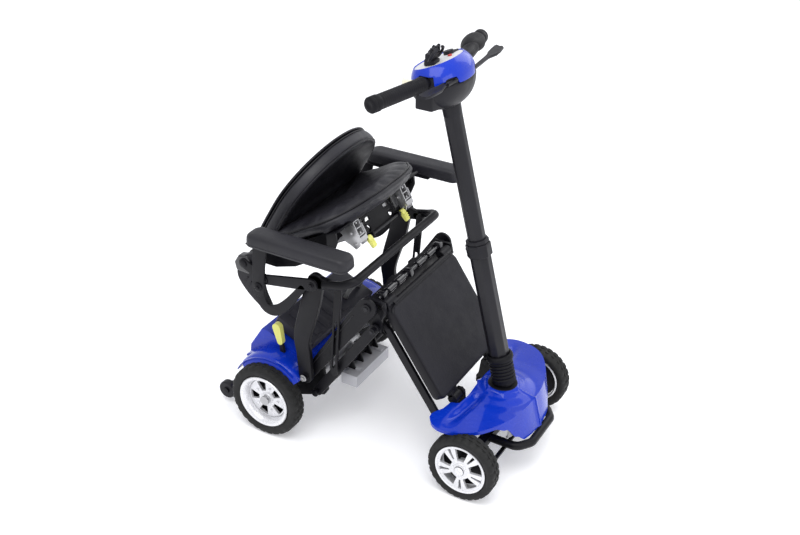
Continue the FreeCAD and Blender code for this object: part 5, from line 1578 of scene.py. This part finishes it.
def seat_frame_look():
    """The side frames: two straight members and the wide hook that carries the armrest."""
    hook = [(0.128, 0.462), (0.150, 0.432), (0.172, 0.404), (0.196, 0.380), (0.220, 0.369),
            (0.240, 0.374), (0.251, 0.394), (0.254, 0.428)]
    path = smooth_path([(0, y, z) for y, z in hook], 6)
    elbow = Vector((0, 0.238, 0.452))
    meshes = []
    for side in SIDES:
        x = (side * 0.230, side * 0.238)
        meshes.append(band(path, [(0, 0.010), (0.5, 0.0145), (1, 0.0135)], x))
        meshes.append(slab(bar_outline(POST_TOP, elbow, 0.016, 0.013), x, 0.0018, 3))
        meshes.append(slab(bar_outline(elbow, SEAT_HINGE, 0.013), x, 0.0018, 3))
        out = Vector((side, 0, 0))
        for y, z in ((0.101, 0.478), (0.238, 0.452)):
            meshes.append(bolt(Vector((side * 0.238, y, z)), out, 0.0062, 0.005))
        meshes.append(lathe(Vector((side * 0.236, SEAT_HINGE.y, SEAT_HINGE.z)), out,
                            [(0, 0.0105), (0.004, 0.0105), (0.005, 0.009)], 28))
    tube = lathe(Vector((-0.237, SEAT_HINGE.y, SEAT_HINGE.z)), Vector((1, 0, 0)),
                 [(0, 0.009), (0.474, 0.009)], 32)
    finish_piece("seat_frame_look", meshes + [tube], "seat_base", "black_steel", 35,
                 ["seat_frame"])


def hinge_covers_look():
    """Black end covers round the seat hinge, each with a glossy catch block on its top."""
    outline = [(0.230, 0.352), (0.252, 0.358), (0.292, 0.388), (0.322, 0.424), (0.327, 0.452),
               (0.318, 0.482), (0.300, 0.500), (0.280, 0.505), (0.264, 0.497), (0.258, 0.470),
               (0.256, 0.430), (0.250, 0.400), (0.238, 0.374)]
    smooth = [(p.y, p.z) for p in smooth_path([(0, y, z) for y, z in outline], 3)]
    meshes, blocks = [], []
    for side in SIDES:
        meshes.append(slab(smooth, (side * 0.208, side * 0.2297), 0.0035, 4))
        for i in range(5):
            y, z = 0.306 - 0.010 * i, 0.420 - 0.0105 * i
            meshes.append(slab([(y, z), (y + 0.0028, z + 0.003), (y - 0.012, z + 0.022),
                                (y - 0.0148, z + 0.019)], (side * 0.229, side * 0.2312),
                               0.0007, 2))
        block = [(0.286, 0.450), (0.326, 0.452), (0.331, 0.474), (0.318, 0.496), (0.290, 0.500),
                 (0.280, 0.480)]
        blocks.append(slab(block, (side * 0.2085, side * 0.2335), 0.005, 4))
    finish_piece("hinge_covers_look", meshes, "seat_base", "black_plastic", 40,
                 ["hinge_covers"])
    finish_piece("hinge_blocks", blocks, "seat_base", "black_gloss", 40)


def armrest_bracket_look(side, label):
    """The armrest's flat upright with its bolt circle, bent under the pad."""
    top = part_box("armrest_pad_" + label)[0].z
    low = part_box("armrest_bracket_" + label)[0].z
    x = (side * 0.239, side * 0.245)
    outline = [(0.236, 0.412), (0.244, low), (0.258, low - 0.001), (0.268, 0.412), (0.2705, 0.430),
               (0.268, 0.470), (0.264, 0.52), (0.264, top), (0.214, top), (0.222, 0.545),
               (0.231, 0.49), (0.235, 0.44)]
    meshes = [slab(outline, x, 0.0016, 3)]
    foot = [(side * a, b) for a, b in ((0.240, 0.046), (0.290, 0.046), (0.290, 0.248),
                                       (0.240, 0.248))]
    meshes.append(prism(foot, (top - 0.004, top - 0.0002), 0.001, 2))
    centre = Vector((side * 0.245, 0.2525, 0.431))
    out = Vector((side, 0, 0))
    meshes.append(lathe(centre, out, [(0, 0.0125), (0.0018, 0.0125), (0.003, 0.011),
                                      (0.003, 0.0065)], 32))
    meshes.append(bolt(centre + out * 0.003, out, 0.0055, 0.004))
    for i in range(3):
        turn = pi / 2 + 2 * pi * i / 3
        spot = centre + Vector((0, 0.0092 * cos(turn), 0.0092 * sin(turn))) + out * 0.002
        meshes.append(lathe(spot, out, [(0, 0.0015), (0.002, 0.0012)], 10))
    finish_piece("armrest_bracket_look_" + label, meshes, "armrest_" + label,
                 "black_steel", 40, ["armrest_bracket_" + label])


def seat_block(x, s, n, width=0.0006, segments=2):
    """A rounded block in the seat's own directions."""
    rings = [[seat_point(a, b, c) for a, c in ((x[0], n[0]), (x[1], n[0]), (x[1], n[1]),
                                               (x[0], n[1]))] for b in s]
    return bevelled(loft(rings), width, segments)


def seat_plate(outline, x, width, segments):
    """A flat plate of an outline in the seat's own directions, between two x values."""
    return bevelled(loft([[seat_point(a, s, n) for s, n in outline] for a in x]), width,
                    segments)


RAIL_X, RAIL_HALF, RAIL_WALL = 0.112, 0.013, 0.0028


def rails_look():
    """Hollow extruded rails with a cross web, their clamp castings and screws."""
    meshes = []
    low, high, wall = -0.045, -0.006, RAIL_WALL
    middle = (low + high) / 2
    for side in SIDES:
        x0, x1 = side * RAIL_X - RAIL_HALF, side * RAIL_X + RAIL_HALF
        for a, b, c, d in ((x0, x1, low, low + wall), (x0, x1, high - wall, high),
                           (x0, x0 + wall, low, high), (x1 - wall, x1, low, high),
                           (x0, x1, middle - 0.0012, middle + 0.0012)):
            meshes.append(seat_block((a, b), (0.070, 0.279), (c, d)))
        for n in (low + 0.004, high - 0.009):
            meshes.append(seat_block((side * RAIL_X - 0.0022, side * RAIL_X + 0.0022),
                                     (0.070, 0.2785), (n, n + 0.005)))
        for edge in (x0 - 0.0032, x1 + 0.0004):
            plate = [(0.236, -0.014), (0.270, -0.012), (0.281, -0.020), (0.2815, -0.046),
                     (0.272, -0.068), (0.256, -0.073), (0.246, -0.058), (0.236, -0.046)]
            meshes.append(seat_plate(plate, (edge, edge + 0.0028), 0.0008, 2))
        meshes.append(seat_block((x0 - 0.002, x1 + 0.002), (0.252, 0.281), (-0.060, -0.0475),
                                 0.002, 3))
        for s, n in ((0.262, -0.030), (0.264, -0.060)):
            place = seat_point(side * RAIL_X - 0.0165, s, n)
            meshes.append(bolt(place, Vector((-1, 0, 0)), 0.0036, 0.003))
    finish_piece("seat_rails_look", meshes, "seat", "aluminium", 35, ["seat_rails"])
    meshes = []
    for side in SIDES:
        inner = side * (RAIL_X - 0.020)
        x = sorted((inner, inner - side * 0.022))
        meshes.append(seat_block(x, (0.236, 0.262), (-0.050, -0.014), 0.003, 3))
        coil = [seat_point(side * (0.066 + 0.003 * cos(t * 1.3)), 0.262 + 0.003 * sin(t * 1.3),
                           -0.052 + 0.0011 * t) for t in range(30)]
        meshes.append(hose(coil, 0.0008, 6))
    finish_piece("rail_catches", meshes, "seat", "black_gloss", 40)


def tabs_look():
    """Dipped yellow-green finger tabs on a black cross shaft."""
    start = seat_point(0, 0.268, -0.064)
    rod = lathe(start - Vector((0.094, 0, 0)), Vector((1, 0, 0)),
                [(0, 0.003), (0.188, 0.003)], 16)
    finish_piece("tab_shaft", rod, "release_tabs", "black_tube", 40)
    meshes = []
    for side in SIDES:
        x = sorted((side * 0.073, side * 0.089))
        plate = [(0.2625, -0.064), (0.266, -0.0585), (0.271, -0.0585), (0.2745, -0.064),
                 (0.2765, -0.078), (0.2775, -0.0895), (0.2735, -0.092), (0.2695, -0.089),
                 (0.267, -0.078)]
        meshes.append(seat_plate(plate, x, 0.0018, 3))
        for n in (-0.074, -0.080, -0.086):
            meshes.append(seat_block(x, (0.2765, 0.2785), (n, n + 0.0022), 0.0008, 2))
    finish_piece("release_tabs_look", meshes, "release_tabs", "yellow_plastic", 40,
                 ["release_tabs"])


def guards_look():
    """The mudguards: rolled painted strips over the rear wheels with a turned-down lip."""
    radius = half_height("rear_tyres")
    section = [(0.176, 0.0100), (0.176, 0.0128), (0.200, 0.0150), (0.222, 0.0140), (0.232, 0.0108),
               (0.2375, 0.0050), (0.2395, -0.0040), (0.2378, -0.0044), (0.2352, 0.0040),
               (0.230, 0.0084), (0.220, 0.0106)]
    meshes = []
    for side in SIDES:
        rings = []
        for i in range(49):
            turn = radians(-50 + 101 * i / 48)
            fade = blend_value([(0, 0.4), (0.12, 1)], min(i, 48 - i) / 48)
            ring_points = []
            for x, rise in section:
                reach = radius + 0.0015 + (rise if rise > 0 else rise * fade)
                ring_points.append(Vector((side * x, REAR_AXLE.y + reach * sin(turn),
                                           REAR_AXLE.z + reach * cos(turn))))
            rings.append(ring_points)
        meshes.append(loft(rings))
    finish_piece("mudguards", meshes, "rear_unit", "blue_paint", 35)


def battery_look():
    """The battery pack with raised ribs on its lid, and its arched handle."""
    softened("battery", 0.005, 4, "battery_grey", 20)
    softened("battery_handle", 0.0004, 1, "handle_grey")
    slope = radians(24)
    along, up = Vector((0, cos(slope), sin(slope))), Vector((0, -sin(slope), cos(slope)))
    start = Vector((0, 0.174, 0.206))
    meshes = []
    for x in (-0.120, -0.075, -0.030, 0.015):
        rings = [[start + Vector((a, 0, 0)) + along * s + up * n for a, n in
                  ((x, 0.0365), (x + 0.026, 0.0365), (x + 0.026, 0.0392), (x, 0.0392))]
                 for s in (0.012, 0.106)]
        meshes.append(bevelled(loft(rings), 0.0012, 3))
    finish_piece("battery_ribs", meshes, "battery", "battery_grey", 35)


def mechanism_look():
    """The folding gear and its springs that show above the speed controller."""
    meshes = []
    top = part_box("controller")[1].z
    for x in (-0.070, -0.030, 0.012, 0.046):
        meshes.append(slab([(0.084, top - 0.002), (0.122, top - 0.002), (0.118, top + 0.020),
                            (0.094, top + 0.028)], (x, x + 0.006), 0.0012, 2))
    meshes.append(lathe(Vector((-0.090, 0.104, top + 0.014)), Vector((1, 0, 0)),
                        [(0.002 * i, 0.0072 if i % 2 else 0.0062) for i in range(86)], 20))
    finish_piece("fold_screw", meshes, "rear_unit", "black_steel", 40)


def apex_look():
    """The dark knee mechanism behind the plate's top: a bar, its springs and catches."""
    softened("apex_frame", 0.0012)
    y, z = PLATE_TOP.y, PLATE_TOP.z
    meshes = []
    for x in (-0.118, -0.072, 0.028, 0.082):
        meshes.append(lathe(Vector((x, y + 0.018, z + 0.012)), Vector((1, 0, 0)),
                            [(0.0, 0.008), (0.0015, 0.0095), (0.030, 0.0095), (0.0315, 0.008)],
                            24))
    meshes.append(lathe(Vector((-0.160, y + 0.018, z + 0.012)), Vector((1, 0, 0)),
                        [(0, 0.0048), (0.320, 0.0048)], 20))
    for x in (-0.150, -0.020, 0.136):
        meshes.append(slab([(y + 0.004, z + 0.004), (y + 0.034, z + 0.006),
                            (y + 0.030, z + 0.020), (y + 0.010, z + 0.022)], (x, x + 0.014),
                           0.0016, 3))
    finish_piece("knee_gear", meshes, "apex", "black_gloss", 40)


seat_frame_look()
hinge_covers_look()
for hand, label in HANDS:
    armrest_bracket_look(hand, label)
rails_look()
tabs_look()
guards_look()
battery_look()
mechanism_look()
apex_look()
for name, *finish in (("rear_cover", 0.0022, 3), ("freewheel_grip", 0.0032, 4),
                      ("controller", 0.0012, 2, "cast_silver"), ("bumper", 0.0003, 1),
                      ("under_cover", 0.0012, 2), ("seat_pan", 0.0010, 2)):
    softened(name, *finish)
for name in ("rear_frame", "rear_pivots", "drive_unit", "freewheel_lever", "front_frame",
             "knuckle_right", "knuckle_left", "tie_rod", "steering_shaft", "speed_dial",
             "ignition_key", "horn_button", "anti_tip_wheel_right", "anti_tip_wheel_left"):
    softened(name, 0.0008, 2)


# ---- stage ------------------------------------------------------------------------------------

def make_floor():
    """A pale floor, a little lit of its own so that its shadows stay soft."""
    bpy.ops.mesh.primitive_plane_add(size=40)
    floor = bpy.context.object
    floor.name = "studio_floor"
    material, tree, shader = new_material("studio_floor")
    tree.links.new(tint(tree, noise(tree, 1.3, 3), (0.93, 0.93, 0.94), (0.96, 0.96, 0.97)),
                   shader.inputs["Base Color"])
    tree.links.new(ramp(tree, noise(tree, 6, 3), 0.55, 0.7), shader.inputs["Roughness"])
    shader.inputs["Emission Color"].default_value = (0.97, 0.97, 1.0, 1)
    shader.inputs["Emission Strength"].default_value = 0.2
    floor.data.materials.append(material)


def make_world():
    """An even pale sky."""
    world = bpy.data.worlds.new("studio")
    bpy.context.scene.world = world
    world.use_nodes = True
    sky = world.node_tree.nodes["Background"]
    sky.inputs["Color"].default_value = (0.96, 0.97, 1.0, 1)
    sky.inputs["Strength"].default_value = 0.95


def area_light(name, place, target, size, power):
    """A rectangular lamp that faces a target."""
    light = bpy.data.lights.new(name, "AREA")
    light.shape, light.size, light.size_y = "RECTANGLE", size[0], size[1]
    light.energy = power
    lamp = bpy.data.objects.new(name, light)
    bpy.context.scene.collection.objects.link(lamp)
    lamp.location = place
    lamp.rotation_euler = (Vector(target) - Vector(place)).to_track_quat("-Z", "Y").to_euler()


def make_lights():
    """A large key light above and two weaker ones in front and on the far side."""
    area_light("key", (-1.2, -0.4, 3.4), (0, 0, 0.4), (2.6, 2.2), 62)
    area_light("front", (-0.6, -3.2, 2.0), (0, 0, 0.5), (2.4, 1.6), 26)
    area_light("far_side", (3.0, -0.6, 2.2), (0, 0, 0.5), (1.8, 2.4), 22)


CAMERA_PLACE = Vector((-2.1494, -1.2187, 1.8744))
CAMERA_TURN = (radians(-60.61), radians(30.14), radians(0.77))
CAMERA_LENS = 51.11


def make_camera():
    """The camera at its place, turned by azimuth, rise and roll."""
    azimuth, rise, roll = CAMERA_TURN
    back = Vector((sin(azimuth) * cos(rise), -cos(azimuth) * cos(rise), sin(rise)))
    across = Vector((0, 0, 1)).cross(back).normalized()
    up = back.cross(across)
    right = across * cos(roll) + up * sin(roll)
    top = up * cos(roll) - across * sin(roll)
    data = bpy.data.cameras.new("camera")
    data.sensor_width, data.lens = 36, CAMERA_LENS
    data.clip_end = 100
    camera = bpy.data.objects.new("camera", data)
    bpy.context.scene.collection.objects.link(camera)
    turn = Matrix((right, top, back)).transposed().to_4x4()
    camera.matrix_world = Matrix.Translation(CAMERA_PLACE) @ turn
    bpy.context.scene.camera = camera


make_floor()
make_world()
make_lights()
make_camera()
bpy.context.scene.view_settings.view_transform = "Standard"
